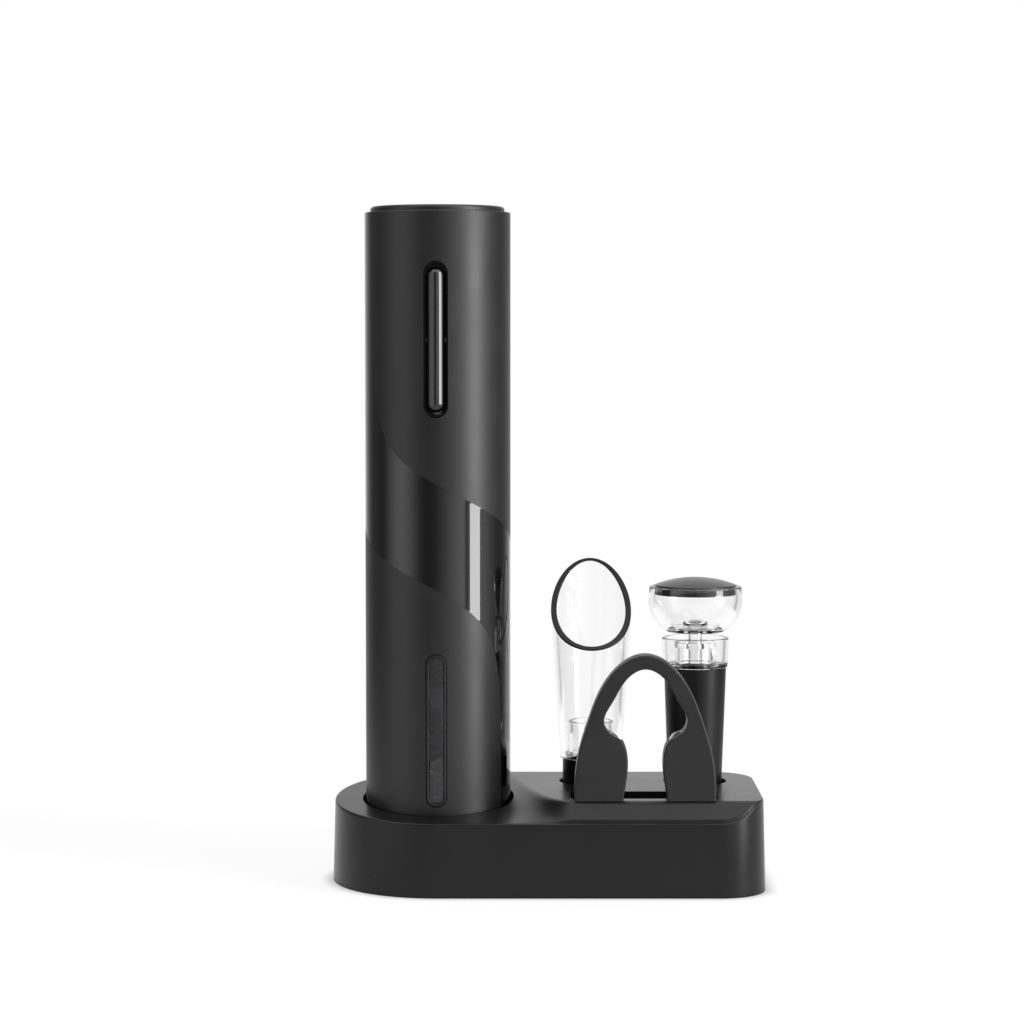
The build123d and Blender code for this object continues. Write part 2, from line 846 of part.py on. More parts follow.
def cutter_outline():
    # half of the arch: outer curve down to the heel, then up the bulge and the inner arch;
    # the points between are shares of the half width and the height
    def at(across, up):
        return across * cutter_half, up * cutter_height

    heel = (cutter_half, cutter_heel)
    bulge = at(0.585, 0.55)
    return [
        Spline((0, cutter_height), at(0.57, 0.81), at(0.8, 0.56), at(0.955, 0.3), heel,
               tangents=((1, 0), (0, -1))),
        Line(heel, (cutter_half, 0)),
        Line((cutter_half, 0), (cutter_foot, 0)),
        Spline((cutter_foot, 0), at(0.253, 0.305), at(0.34, 0.416), at(0.53, 0.478), bulge,
               tangents=((-0.05, 1), (-0.25, 1))),
        Spline(bulge, at(0.475, 0.669), at(0.256, 0.839), (0, cutter_height - cutter_crown),
               tangents=((-0.35, 1), (-1, 0))),
    ]


cutter_front = ridge_y - cutter_overhang
wheel_x = 0.5 * cutter_half
wheel_height = 0.395 * cutter_height
foot_width = cutter_half - cutter_foot


def at_wheel(side, shape):
    middle = cutter_front + cutter_thick / 2
    return Pos(accessory_x + side * wheel_x, middle, platform_height + wheel_height) * Rot(90, 0, 0) * shape


def cutter_body():
    half = cutter_outline()
    other = [mirror(edge, about=Plane.YZ) for edge in half]
    plane = Plane(
        origin=(accessory_x, cutter_front + cutter_thick, platform_height), x_dir=(1, 0, 0), z_dir=(0, -1, 0))
    plate = extrude(plane * make_face(half + other), amount=cutter_thick)
    body = fillet(plate.edges().filter_by(lambda e: e.length > 1.1 * foot_width), cutter_round)
    tongue_front = slot_front + slip_fit
    tongue = block(foot_width - 2 * tongue_inset, tongue_front, tongue_front + tongue_thick,
                   platform_height - tongue_drop, platform_height + tongue_rise)
    for side in (-1, 1):
        body += Pos(accessory_x + side * (cutter_foot + cutter_half) / 2, 0, 0) * tongue
        body -= at_wheel(side, Cylinder(wheel_radius + wheel_play, wheel_slot))
        body -= at_wheel(side, Cylinder(wheel_pin + seat_fit, cutter_thick - 2 * pin_inset))
    return body


def cutter_wheel(side):
    edge = wheel_radius - wheel_thick
    disc = Cylinder(edge, wheel_thick)
    disc += Cone(edge, wheel_radius, wheel_thick / 2, align=(Align.CENTER, Align.CENTER, Align.MAX))
    disc += Cone(wheel_radius, edge, wheel_thick / 2, align=(Align.CENTER, Align.CENTER, Align.MIN))
    return at_wheel(side, disc - Cylinder(wheel_pin + run_fit, 2 * wheel_thick))


def cutter_pins():
    pin = Cylinder(wheel_pin, cutter_thick - 2 * pin_inset - 2 * seat_fit)
    return [at_wheel(side, pin) for side in (-1, 1)]


# Pourer, on its own axis

def pourer_plug():
    # sealing fins like saw teeth below the platform, a plain band above it
    pitch = (platform_height - pourer_bottom - fin_margin) / fin_count
    root = plug_radius - fin_root
    profile = [(plug_radius - plug_lead, pourer_bottom)]
    for i in range(fin_count):
        foot = pourer_bottom + plug_lead + i * pitch
        profile += [(root, foot), (plug_radius + fin_rise, foot + 0.6 * pitch), (root, foot + 0.75 * pitch)]
    profile += [(plug_radius, platform_height), (plug_radius, plug_top)]
    bore = tube_radius + seat_fit
    lip = bore - plug_lip
    return turned(*profile, (bore, plug_top), (bore, tube_bottom), (lip, tube_bottom), (lip, pourer_bottom))


def pourer_tube():
    return tube(tube_radius, tube_radius - tube_wall, tube_bottom, tube_top)


def spout_shell():
    bore = tube_radius + seat_fit
    wall = spout_wall
    return turned(
        (spout_foot, plug_top), (spout_knee, spout_knee_height), (spout_mouth, spout_top),
        (spout_mouth - wall, spout_top), (spout_knee - wall, spout_knee_height),
        (spout_foot - wall, plug_top + wall), (bore, plug_top + wall), (bore, plug_top))


def lip_cut(extra):
    # large cylinder across the pourer whose underside is the slanted, slightly hollow mouth
    lean = hypot(1, lip_slope)
    middle = Pos(0, -lip_radius * lip_slope / lean, lip_height + lip_radius / lean)
    return middle * Rot(0, 90, 0) * Cylinder(lip_radius + extra, 6 * spout_mouth)


def pourer_spout():
    return spout_shell() - lip_cut(lip_thick)


def pourer_rim():
    return spout_shell() & (lip_cut(lip_thick) - lip_cut(0))


# Vacuum stopper, on its own axis

def stopper_sleeve():
    bore = barrel_radius + seat_fit
    floor = stopper_bottom + sleeve_end
    return turned(
        (0, stopper_bottom), (sleeve_foot - sleeve_edge, stopper_bottom),
        (sleeve_foot, stopper_bottom + sleeve_edge), (sleeve_shoulder, sleeve_height),
        (bore, sleeve_height), (bore, barrel_bottom), (valve_radius, barrel_bottom),
        (valve_radius, floor), (0, floor))


def stopper_valve():
    reach = valve_radius - seat_fit
    floor = stopper_bottom + sleeve_end
    tip = barrel_bottom + valve_tip
    return turned((0, floor), (reach, floor), (reach, barrel_bottom), (0.4 * reach, tip), (0, tip))


def stopper_barrel():
    # clear collar and pump barrel in one moulding, with a guide for the rod at the top
    floor = sleeve_height + collar_floor
    guide_high = collar_top - rod_guide_drop
    guide_low = guide_high - rod_guide_thick
    guide_bore = rod_radius + run_fit
    return turned(
        (barrel_bore, barrel_bottom), (barrel_radius, barrel_bottom), (barrel_radius, sleeve_height),
        (collar_foot, sleeve_height), (collar_mouth, collar_top), (collar_mouth - collar_wall, collar_top),
        (collar_foot - collar_wall, floor), (barrel_radius, floor), (barrel_radius, guide_high),
        (guide_bore, guide_high), (guide_bore, guide_low), (barrel_bore, guide_low))


def pump_rod():
    return rod(rod_radius, rod_bottom, head_bottom + rod_bite)


def pump_seal():
    reach = barrel_bore - seal_play
    waist = reach - seal_lip
    bore = rod_radius + seat_fit
    top = rod_bottom + seal_height
    return turned(
        (bore, rod_bottom), (waist, rod_bottom), (reach, rod_bottom + seal_lip_height),
        (waist, (rod_bottom + top) / 2), (reach, top - seal_lip_height), (waist, top), (bore, top))


def head_profile(inset):
    # rounded bowl under an upright rim
    bottom = head_bottom + inset
    foot = 0.55 * head_radius - inset / 2    # flat underside, then a full curve
    rim = head_radius - inset
    bend = (0.93 * head_radius - inset, head_bottom + 0.55 * (head_rim - head_bottom) + 0.4 * inset)
    return [
        Line((0, bottom), (foot, bottom)),
        ThreePointArc((foot, bottom), bend, (rim, head_rim)),
        Line((rim, head_rim), (rim, head_top)),
        Line((rim, head_top), (0, head_top)),
        Line((0, head_top), (0, bottom)),
    ]


def pump_head():
    bowl = revolve(Plane.XZ * make_face(head_profile(0)), Axis.Z)
    bowl -= revolve(Plane.XZ * make_face(head_profile(head_wall)), Axis.Z)
    bowl += rod(head_boss, head_bottom + head_wall / 2, head_bottom + boss_height + boss_end)
    return bowl - rod(rod_radius + seat_fit, head_bottom - past, head_bottom + rod_bite)


def pump_cap():
    reach = head_radius - head_wall - seat_fit
    side = head_top + pump_cap_stand
    rise = pump_cap_apex - side
    dome = (reach ** 2 + rise ** 2) / (2 * rise)
    half = asin(reach / dome) / 2
    on_dome = (dome * sin(half), pump_cap_apex - dome * (1 - cos(half)))
    profile = [
        Line((0, side - pump_cap_side), (reach, side - pump_cap_side)),
        Line((reach, side - pump_cap_side), (reach, side)),
        ThreePointArc((reach, side), on_dome, (0, pump_cap_apex)),
        Line((0, pump_cap_apex), (0, side - pump_cap_side)),
    ]
    return revolve(Plane.XZ * make_face(profile), Axis.Z)


def named(names, shapes):
    return dict(zip(names, shapes))


base_pieces = {
    "base_shell": base_shell(),
    "base_plate": base_plate(),
    "base_feet": base_feet(),
    "base_screws": base_screws(),
}
opener_pieces = {
    "outer_sleeve": outer_sleeve(),
    "gloss_ribbon": gloss_ribbon(),
    "top_cap": top_cap(),
    "button_surround": button_surround(),
    "rocker_button": rocker_button(),
    "button_pin": button_pin(),
    "window_lens": window_lens(),
    "bottle_guide": bottle_guide(),
    "worm_screw": worm_screw(),
    "gearbox_cover": gearbox_cover(),
    "output_bush": output_bush(),
    "gearbox_screws": gearbox_screws(),
    "ring_gear": ring_gear(),
    "output_carrier": output_carrier(),
    "first_carrier": first_carrier(),
    "motor_rotor": motor_rotor(),
    "motor_plate": motor_plate(),
    "motor_can": motor_can(),
    "motor_screws": motor_screws(),
    "chassis": chassis(),
    "battery_cells": battery_cells(),
    "battery_contacts": battery_contacts(),
    "control_board": control_board(),
    "tact_switches": tact_switches(),
    "charge_board": charge_board(),
    "usb_socket": usb_socket(),
}
opener_pieces |= named(["low_planet_1", "low_planet_2", "low_planet_3"], planets(low_gears))
opener_pieces |= named(["high_planet_1", "high_planet_2", "high_planet_3"], planets(high_gears))
cutter_pieces = {
    "cutter_body": cutter_body(),
    "cutter_wheel_left": cutter_wheel(-1),
    "cutter_wheel_right": cutter_wheel(1),
    "cutter_pins": cutter_pins(),
}
pourer_pieces = {
    "pourer_plug": pourer_plug(),
    "pourer_tube": pourer_tube(),
    "pourer_spout": pourer_spout(),
    "pourer_rim": pourer_rim(),
}
stopper_pieces = {
    "stopper_sleeve": stopper_sleeve(),
    "stopper_barrel": stopper_barrel(),
    "stopper_valve": stopper_valve(),
    "pump_rod": pump_rod(),
    "pump_seal": pump_seal(),
    "pump_head": pump_head(),
    "pump_cap": pump_cap(),
}

sets = [
    (Pos(0, 0, 0), base_pieces),
    (Pos(opener_x, 0, 0), opener_pieces),
    (Pos(0, 0, 0), cutter_pieces),
    (Pos(pourer_x, accessory_y, 0), pourer_pieces),
    (Pos(stopper_x, accessory_y, 0), stopper_pieces),
]

os.makedirs("parts", exist_ok=True)
for place, pieces in sets:
    for name, shape in pieces.items():
        solids = shape if isinstance(shape, list) else [shape]
        moved = [place * solid for solid in solids]
        whole = moved[0] if len(moved) == 1 else Compound(children=moved)
        export_step(whole, f"parts/{name}.step")
print("pieces written:", sum(len(pieces) for place, pieces in sets))
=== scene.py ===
import json
import math

import bmesh
import bpy
import numpy as np
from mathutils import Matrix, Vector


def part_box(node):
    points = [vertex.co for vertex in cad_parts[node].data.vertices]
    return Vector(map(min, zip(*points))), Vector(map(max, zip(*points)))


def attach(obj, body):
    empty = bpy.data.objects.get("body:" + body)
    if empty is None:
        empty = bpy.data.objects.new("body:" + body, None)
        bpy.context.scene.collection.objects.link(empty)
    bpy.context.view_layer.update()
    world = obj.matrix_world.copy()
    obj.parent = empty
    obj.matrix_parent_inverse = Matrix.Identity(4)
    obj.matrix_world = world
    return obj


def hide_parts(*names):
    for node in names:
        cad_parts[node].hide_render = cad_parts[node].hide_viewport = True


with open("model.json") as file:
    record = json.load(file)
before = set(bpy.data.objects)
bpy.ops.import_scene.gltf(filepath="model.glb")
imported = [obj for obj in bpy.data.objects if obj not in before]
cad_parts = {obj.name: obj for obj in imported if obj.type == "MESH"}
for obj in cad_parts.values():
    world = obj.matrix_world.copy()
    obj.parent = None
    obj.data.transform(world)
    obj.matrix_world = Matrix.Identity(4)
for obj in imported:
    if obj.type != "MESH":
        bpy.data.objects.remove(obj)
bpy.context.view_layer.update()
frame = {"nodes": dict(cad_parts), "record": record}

mm = 0.001
weld = 0.002 * mm    # points nearer than this become one
sliver = 0.01 * mm   # faces thinner than this are closed up
print("frame loaded:", len(frame["nodes"]), "nodes")


def boxOf(node):  # lowest and highest corner in millimetres
    low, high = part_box(node)
    return np.array(low) / mm, np.array(high) / mm


def axisOf(node):  # upright axis of a turned node
    low, high = boxOf(node)
    return (low[:2] + high[:2]) / 2


# Materials

def linear(hexColour):  # sRGB hex to linear light
    srgb = np.array([int(hexColour[i:i + 2], 16) for i in (1, 3, 5)]) / 255
    light = np.where(srgb <= 0.04045, srgb / 12.92, ((srgb + 0.055) / 1.055) ** 2.4)
    return (*light.tolist(), 1.0)


def addNode(tree, kind, settings, inputs):  # inputs are plain values or other nodes' outputs
    made = tree.nodes.new("ShaderNode" + kind)
    for key, value in settings.items():
        setattr(made, key, value)
    for key, value in inputs.items():
        if isinstance(value, bpy.types.NodeSocket):
            tree.links.new(value, made.inputs[key])
        else:
            made.inputs[key].default_value = value
    return made


def newMaterial(name):
    material = bpy.data.materials.new(name)
    material.use_nodes = True
    material.node_tree.nodes.clear()
    return material, material.node_tree


# Opaque finishes: a fine grain lifts the surface, a broad cloud shifts tone and gloss a little.
# grain and cloud are the sizes of one bump and one patch in mm, lift the height of a bump in mm,
# finer how many times finer the grain is along x, y and z,
# sheen the specular level, 0.5 unless a fine texture takes some of the mirror light.
# Paint and mould grains are drawn coarser than real ones, which are too fine to show.
cloudSpan = (0.3, 0.7)  # levels of the cloud between which tone and gloss change
finishes = {
    "sleeve_black": {  # even sheen, no image
        "name": "softTouchPaint", "colours": ("#121213", "#161617"), "rough": (0.38, 0.43),
        "grain": 0.25, "lift": 0.004, "cloud": 14, "ior": 1.5, "sheen": 0.43},
    "gloss_black": {  # mirror-like lacquer
        "name": "pianoBlackAbs", "colours": ("#050506", "#070708"), "rough": (0.035, 0.06),
        "grain": 6.0, "lift": 0.002, "cloud": 9, "ior": 1.54},
    "base_black": {  # eroded mould, soft sheen
        "name": "satinMouldedAbs", "colours": ("#131314", "#171718"), "rough": (0.27, 0.31),
        "grain": 0.3, "lift": 0.003, "cloud": 18, "ior": 1.54, "sheen": 0.23},
    "trim_black": {  # dull glass-filled moulding
        "name": "mattNylon", "colours": ("#1c1c1d", "#212122"), "rough": (0.38, 0.46),
        "grain": 0.3, "lift": 0.008, "cloud": 12, "ior": 1.53, "sheen": 0.3},
    "black_rubber": {  # matt with a waxy sheen
        "name": "siliconeRubber", "colours": ("#090909", "#0d0d0d"), "rough": (0.36, 0.44),
        "grain": 0.2, "lift": 0.006, "cloud": 8, "ior": 1.42, "sheen": 0.3},
    "cap_grey": {  # fine mould, soft gleam
        "name": "satinGreyAbs", "colours": ("#28282a", "#2e2e30"), "rough": (0.24, 0.3),
        "grain": 0.3, "lift": 0.002, "cloud": 10, "ior": 1.54, "sheen": 0.3},
    "frame_grey": {  # plain inner moulding
        "name": "greyAbs", "colours": ("#58585a", "#646466"), "rough": (0.4, 0.55),
        "grain": 0.4, "lift": 0.01, "cloud": 9, "ior": 1.54},
    "gear_white": {  # milky, slightly waxy
        "name": "naturalAcetal", "colours": ("#e2dfd6", "#ece9e1"), "rough": (0.3, 0.4),
        "grain": 0.5, "lift": 0.006, "cloud": 5, "ior": 1.48},
    "board_green": {  # lacquer over copper tracks
        "name": "solderMask", "colours": ("#0d4a26", "#125a30"), "rough": (0.25, 0.4),
        "grain": 0.6, "lift": 0.01, "cloud": 2.5, "ior": 1.55},
    "cell_wrap": {  # tight glossy film
        "name": "shrinkFilm", "colours": ("#17407f", "#1c4a90"), "rough": (0.2, 0.3),
        "grain": 1.2, "lift": 0.01, "cloud": 7, "ior": 1.53},
    "steel": {  # fine turning marks
        "name": "turnedSteel", "colours": ("#a9a9ab", "#c3c3c4"), "rough": (0.2, 0.34),
        "metal": 1.0, "grain": 0.35, "lift": 0.003, "cloud": 4, "finer": (1, 1, 9)},
    "worm_coat": {  # dull grey coat baked on the steel worm
        "name": "nonStickCoat", "colours": ("#57575a", "#646467"), "rough": (0.4, 0.5),
        "grain": 0.3, "lift": 0.004, "cloud": 3, "ior": 1.4},
    "bronze": {  # dull pressed powder
        "name": "sinteredBronze", "colours": ("#a5783c", "#b98a4b"), "rough": (0.4, 0.55),
        "metal": 1.0, "grain": 0.2, "lift": 0.01, "cloud": 3},
}


def opaqueMaterial(spec):
    material, tree = newMaterial(spec["name"])
    place = addNode(tree, "TexCoord", {}, {}).outputs["Object"]
    drawn = addNode(tree, "Mapping", {}, {"Vector": place, "Scale": spec.get("finer", (1, 1, 1))})
    grain = addNode(tree, "TexNoise", {}, {
        "Vector": drawn.outputs["Vector"], "Scale": 1 / (spec["grain"] * mm), "Detail": 2.0})
    cloud = addNode(tree, "TexNoise", {}, {
        "Vector": place, "Scale": 1 / (spec["cloud"] * mm), "Detail": 3.0})
    tone = addNode(tree, "ValToRGB", {}, {"Fac": cloud.outputs["Fac"]})
    for step, at, colour in zip(tone.color_ramp.elements, cloudSpan, spec["colours"]):
        step.position = at
        step.color = linear(colour)
    gloss = addNode(tree, "MapRange", {}, {
        "Value": cloud.outputs["Fac"], "From Min": cloudSpan[0], "From Max": cloudSpan[1],
        "To Min": spec["rough"][0], "To Max": spec["rough"][1]})
    bump = addNode(tree, "Bump", {}, {
        "Strength": 0.5, "Distance": spec["lift"] * mm, "Height": grain.outputs["Fac"]})
    shader = addNode(tree, "BsdfPrincipled", {}, {
        "Base Color": tone.outputs["Color"], "Roughness": gloss.outputs["Result"],
        "Normal": bump.outputs["Normal"], "Metallic": spec.get("metal", 0.0),
        "Specular IOR Level": spec.get("sheen", 0.5)})
    if "ior" in spec:
        shader.inputs["IOR"].default_value = spec["ior"]
    addNode(tree, "OutputMaterial", {}, {"Surface": shader.outputs["BSDF"]})
    return material


# Clear finishes: injection-moulded acrylic with faint flow waves.
# wave and lift are their length and height in mm, haze the share of milky light.
clearFinishes = {
    "clear_acrylic": {  # water-clear, dark only along its edges
        "name": "clearAcrylic", "colour": "#ffffff", "rough": 0.0, "ior": 1.49,
        "wave": 7, "lift": 0.004},
    "smoke_clear": {  # grey tint, slight veil, mirrors little
        "name": "smokedAcrylic", "colour": "#bebec2", "rough": 0.0, "ior": 1.3,
        "wave": 5, "lift": 0.004, "haze": 0.045},
}


def clearMaterial(spec):
    material, tree = newMaterial(spec["name"])
    place = addNode(tree, "TexCoord", {}, {}).outputs["Object"]
    flow = addNode(tree, "TexNoise", {}, {
        "Vector": place, "Scale": 1 / (spec["wave"] * mm), "Detail": 1.0})
    bump = addNode(tree, "Bump", {}, {
        "Strength": 0.4, "Distance": spec["lift"] * mm, "Height": flow.outputs["Fac"]})
    shader = addNode(tree, "BsdfPrincipled", {}, {
        "Base Color": linear(spec["colour"]), "Roughness": spec["rough"], "IOR": spec["ior"],
        "Transmission Weight": 1 - spec.get("haze", 0), "Normal": bump.outputs["Normal"]})
    addNode(tree, "OutputMaterial", {}, {"Surface": shader.outputs["BSDF"]})
    return material


materials = {slot: opaqueMaterial(spec) for slot, spec in finishes.items()}
materials |= {slot: clearMaterial(spec) for slot, spec in clearFinishes.items()}
for row in frame["record"]["subparts"]:
    mesh = frame["nodes"][row["node"]].data
    mesh.materials.clear()
    finish = "worm_coat" if row["node"] == "worm_screw" else row["material_slot"]
    mesh.materials.append(materials[finish])
print("materials made:", len(materials))


# Surface tools, all in millimetres

def gridFaces(rows, columns, closeRows, closeColumns, capped):
    # quads between neighbouring rows and columns, wrapped round where the grid closes;
    # capped rows get a flat face
    i, j = np.meshgrid(np.arange(rows - (not closeRows)), np.arange(columns - (not closeColumns)),
                       indexing="ij")
    below, right = (i + 1) % rows, (j + 1) % columns
    quads = np.stack([i * columns + j, below * columns + j,
                      below * columns + right, i * columns + right], -1)
    caps = [list(range(row % rows * columns, (row % rows + 1) * columns)) for row in capped]
    return quads.reshape(-1, 4).tolist() + caps


def arcPoints(middle, radius, start, end, steps):
    # the shorter way round a circle, from one direction to another
    first = np.arctan2(start[1], start[0])
    turn = (np.arctan2(end[1], end[0]) - first + np.pi) % (2 * np.pi) - np.pi
    angles = first + turn * np.linspace(0, 1, steps + 1)
    return middle + radius * np.stack([np.cos(angles), np.sin(angles)], -1)


def roundedLine(corners, steps, closed=True):
    # each corner (a, b, radius) gives way to an arc tangent to both of its sides
    points = np.array([corner[:2] for corner in corners], float)
    out = []
    for i, corner in enumerate(corners):
        radius = corner[2] if len(corner) > 2 else 0
        if radius == 0 or (not closed and i in (0, len(corners) - 1)):
            out.append(points[i][None])
            continue
        before = points[i - 1] - points[i]
        after = points[(i + 1) % len(points)] - points[i]
        before, after = before / np.linalg.norm(before), after / np.linalg.norm(after)
        half = np.arccos(np.clip(before @ after, -1, 1)) / 2
        middle = points[i] + (before + after) / np.linalg.norm(before + after) * radius / np.sin(half)
        start = points[i] + before * radius / np.tan(half) - middle
        end = points[i] + after * radius / np.tan(half) - middle
        out.append(arcPoints(middle, radius, start, end, steps))
    return np.concatenate(out)


def arcThrough(a, b, c, steps):
    # points of the circle through three points, from the first to the last
    (ax, ay), (bx, by), (cx, cy) = a, b, c
    grid = np.array([[bx - ax, by - ay], [cx - ax, cy - ay]])
    sums = np.array([(bx * bx - ax * ax + by * by - ay * ay) / 2,
                     (cx * cx - ax * ax + cy * cy - ay * ay) / 2])
    middle = np.linalg.solve(grid, sums)
    start, end = np.array(a) - middle, np.array(c) - middle
    return arcPoints(middle, np.hypot(*start), start, end, steps)


def smoothCurve(points, count, startSlope, endSlope):
    # cubic spline through the points, by chord length, with given end directions, at even lengths
    points = np.array(points, float)
    knots = np.concatenate([[0], np.cumsum(np.linalg.norm(np.diff(points, axis=0), axis=1))])
    gaps = np.diff(knots)[:, None]
    slopes = np.diff(points, axis=0) / gaps
    size = len(points)
    grid, sums = np.eye(size), np.zeros((size, 2))
    sums[0], sums[-1] = startSlope, endSlope
    inner = np.arange(1, size - 1)
    before, after = gaps[:-1, 0], gaps[1:, 0]
    grid[inner, inner - 1], grid[inner, inner + 1] = after, before
    grid[inner, inner] = 2 * (before + after)
    sums[inner] = 3 * (gaps[1:] * slopes[:-1] + gaps[:-1] * slopes[1:])
    headings = np.linalg.solve(grid, sums)
    fine = np.linspace(0, knots[-1], 40 * size)
    k = np.clip(np.searchsorted(knots, fine, side="right") - 1, 0, size - 2)
    t = ((fine - knots[k]) / gaps[k, 0])[:, None]
    line = ((2 * t ** 3 - 3 * t ** 2 + 1) * points[k] + (t ** 3 - 2 * t ** 2 + t) * gaps[k] * headings[k]
            + (3 * t ** 2 - 2 * t ** 3) * points[k + 1] + (t ** 3 - t ** 2) * gaps[k] * headings[k + 1])
    run = np.concatenate([[0], np.cumsum(np.linalg.norm(np.diff(line, axis=0), axis=1))])
    even = np.linspace(0, run[-1], count)
    return np.stack([np.interp(even, run, line[:, 0]), np.interp(even, run, line[:, 1])], -1)


def newObject(name, data):
    made = bpy.data.objects.new(name, data)
    bpy.context.scene.collection.objects.link(made)
    return made


def gridObject(name, points, closeRows, closeColumns, capped=()):
    # mesh on a grid of points, with doubles at poles and seams merged
    faces = gridFaces(*points.shape[:2], closeRows, closeColumns, capped)
    mesh = bpy.data.meshes.new(name)
    mesh.from_pydata((points.reshape(-1, 3) * mm).tolist(), [], faces)
    work = bmesh.new()
    work.from_mesh(mesh)
    bmesh.ops.remove_doubles(work, verts=work.verts, dist=weld)
    bmesh.ops.recalc_face_normals(work, faces=work.faces)
    work.to_mesh(mesh)
    work.free()
    return newObject(name, mesh)


def carve(piece, *tools):  # takes closed shapes out of a piece
    for tool in tools:
        cut = piece.modifiers.new("cut", "BOOLEAN")
        cut.operation = "DIFFERENCE"
        cut.solver = "EXACT"
        cut.object = tool
    bpy.context.view_layer.update()
    carved = bpy.data.meshes.new_from_object(piece.evaluated_get(bpy.context.evaluated_depsgraph_get()))
    piece.modifiers.clear()
    piece.data = carved
    work = bmesh.new()
    work.from_mesh(carved)
    bmesh.ops.dissolve_degenerate(work, dist=sliver, edges=work.edges)  # slivers along the cuts
    bmesh.ops.triangulate(work, faces=[face for face in work.faces if len(face.verts) > 4])
    work.to_mesh(carved)
    work.free()
    for tool in tools:
        bpy.data.objects.remove(tool)


def dress(piece, body, slot, replaced, sharpAngle=35):
    mesh = piece.data
    mesh.materials.clear()
    mesh.materials.append(materials[slot])
    mesh.shade_smooth()
    mesh.set_sharp_from_angle(angle=math.radians(sharpAngle))
    even = piece.modifiers.new("evenShade", "WEIGHTED_NORMAL")  # large faces keep their own direction
    even.keep_sharp = True
    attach(piece, body)
    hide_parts(*replaced)


def fullTurn(steps):  # even angles once round, as a column
    return np.linspace(0, 2 * np.pi, steps, endpoint=False)[:, None]


def around(axis, radius, turn, height):
    # x = r sin a, y = -r cos a about the axis, z = height
    x, y = axis[0] + radius * np.sin(turn), axis[1] - radius * np.cos(turn)
    return np.stack(np.broadcast_arrays(x, y, height), -1)


def turned(name, profile, axis, steps=144):
    # surface of revolution: the profile's (radius, height) carried once round the axis
    r, h = profile[:, 0], profile[:, 1]
    poles = abs(r[0]) < 1e-6 and abs(r[-1]) < 1e-6
    return gridObject(name, around(axis, r, fullTurn(steps), h), True, not poles)


def stadium(width, length, inset, steps=20):
    # upright oval: two half circles joined by straight sides, drawn in by the inset
    angles = np.linspace(0, np.pi, steps + 1)
    radius = np.maximum(width / 2 - inset, 0)
    run = (length - width) / 2
    top = np.stack([radius * np.cos(angles), run + radius * np.sin(angles)], -1)
    side = np.linspace(run, -run, 24)[1:-1]
    left = np.stack([-radius + 0 * side, side], -1)
    return np.concatenate([top, left, -top, -left])


def blockLoop(low, high, radius, steps):  # rounded rectangle between two corners
    return roundedLine([(low[0], low[1], radius), (high[0], low[1], radius),
                        (high[0], high[1], radius), (low[0], high[1], radius)], steps)


# Base: a D-shaped wall drafted inwards, under a deck whose ridge swings from the back to the front

baseLow, baseHigh = boxOf("base_shell")
openerAxis, pourerAxis, stopperAxis = axisOf("outer_sleeve"), axisOf("pourer_plug"), axisOf("stopper_sleeve")
openerLow, openerHigh = boxOf("outer_sleeve")
base = {
    "draft": math.tan(math.radians(1.5)),
    "corner": 16.0,
    "platform": baseHigh[2],
    "frontEdge": 25.1,       # top of the front wall
    "ridgeSetback": 7.0,
    "swoosh": (-14.0, 9.0),  # x where the ridge starts and ends its swing
    "swing": 2.2,            # how fast it swings
    "soften": 0.9,           # rounding of the ridge
    "edgeRound": 0.7,
    "wall": 2.2,
    "underside": 3.4,
    "collar": 1.6,           # ring of deck that belongs to a well
    "hem": 0.15,             # gap under the wall
    "lip": 0.45,             # rounding of a well's edge
    "hold": 0.5,             # a row this far outside the edge keeps the collar flat
    "wells": (26.0, 11.0, 11.0),  # radii for the opener, the pourer and the stopper
    "wellFloor": 1.5,
    "wellRound": 0.8,        # between a well's wall and its floor
    "slot": (25.0, 5.4, 13.8, 10.3),  # cutter's slot: half width, front and back from the ridge, depth
    "ledge": (20.4, 3.0),    # shallow step behind the slot: its back from the ridge, depth
    "slotRound": 1.0,
    "spineEnd": 50.0,        # the deck's rows run in to a line that ends here
    "above": 60.0,           # cutting shapes reach this high
}
baseDepth = (baseHigh[1] - baseLow[1]) + 2 * baseLow[2] * base["draft"]
baseLength = (baseHigh[0] - baseLow[0]) + 2 * baseLow[2] * base["draft"]
frontY = -(baseDepth / 2 - base["frontEdge"] * base["draft"])
ridgeY = frontY + base["ridgeSetback"]


def softMin(a, b, width):  # smaller of two values, eased over the width
    share = np.clip(0.5 + 0.5 * (b - a) / width, 0, 1)
    return b * (1 - share) + a * share - width * share * (1 - share)


def deckHeight(x, y):
    # level platform or the plane that rises from the front edge to the ridge, whichever is lower;
    # the ridge lies at the back on the left and swings forward with an eased share of x
    start, end = base["swoosh"]
    share = np.clip((x - start) / (end - start), 0, 1)
    ridge = -frontY - (-frontY - ridgeY) * (1 - (1 - share) ** base["swing"])
    slope = (base["platform"] - base["frontEdge"]) / (ridge - frontY)
    rising = base["frontEdge"] + slope * (y - frontY)
    return softMin(base["platform"] + 0 * y, rising, base["soften"])


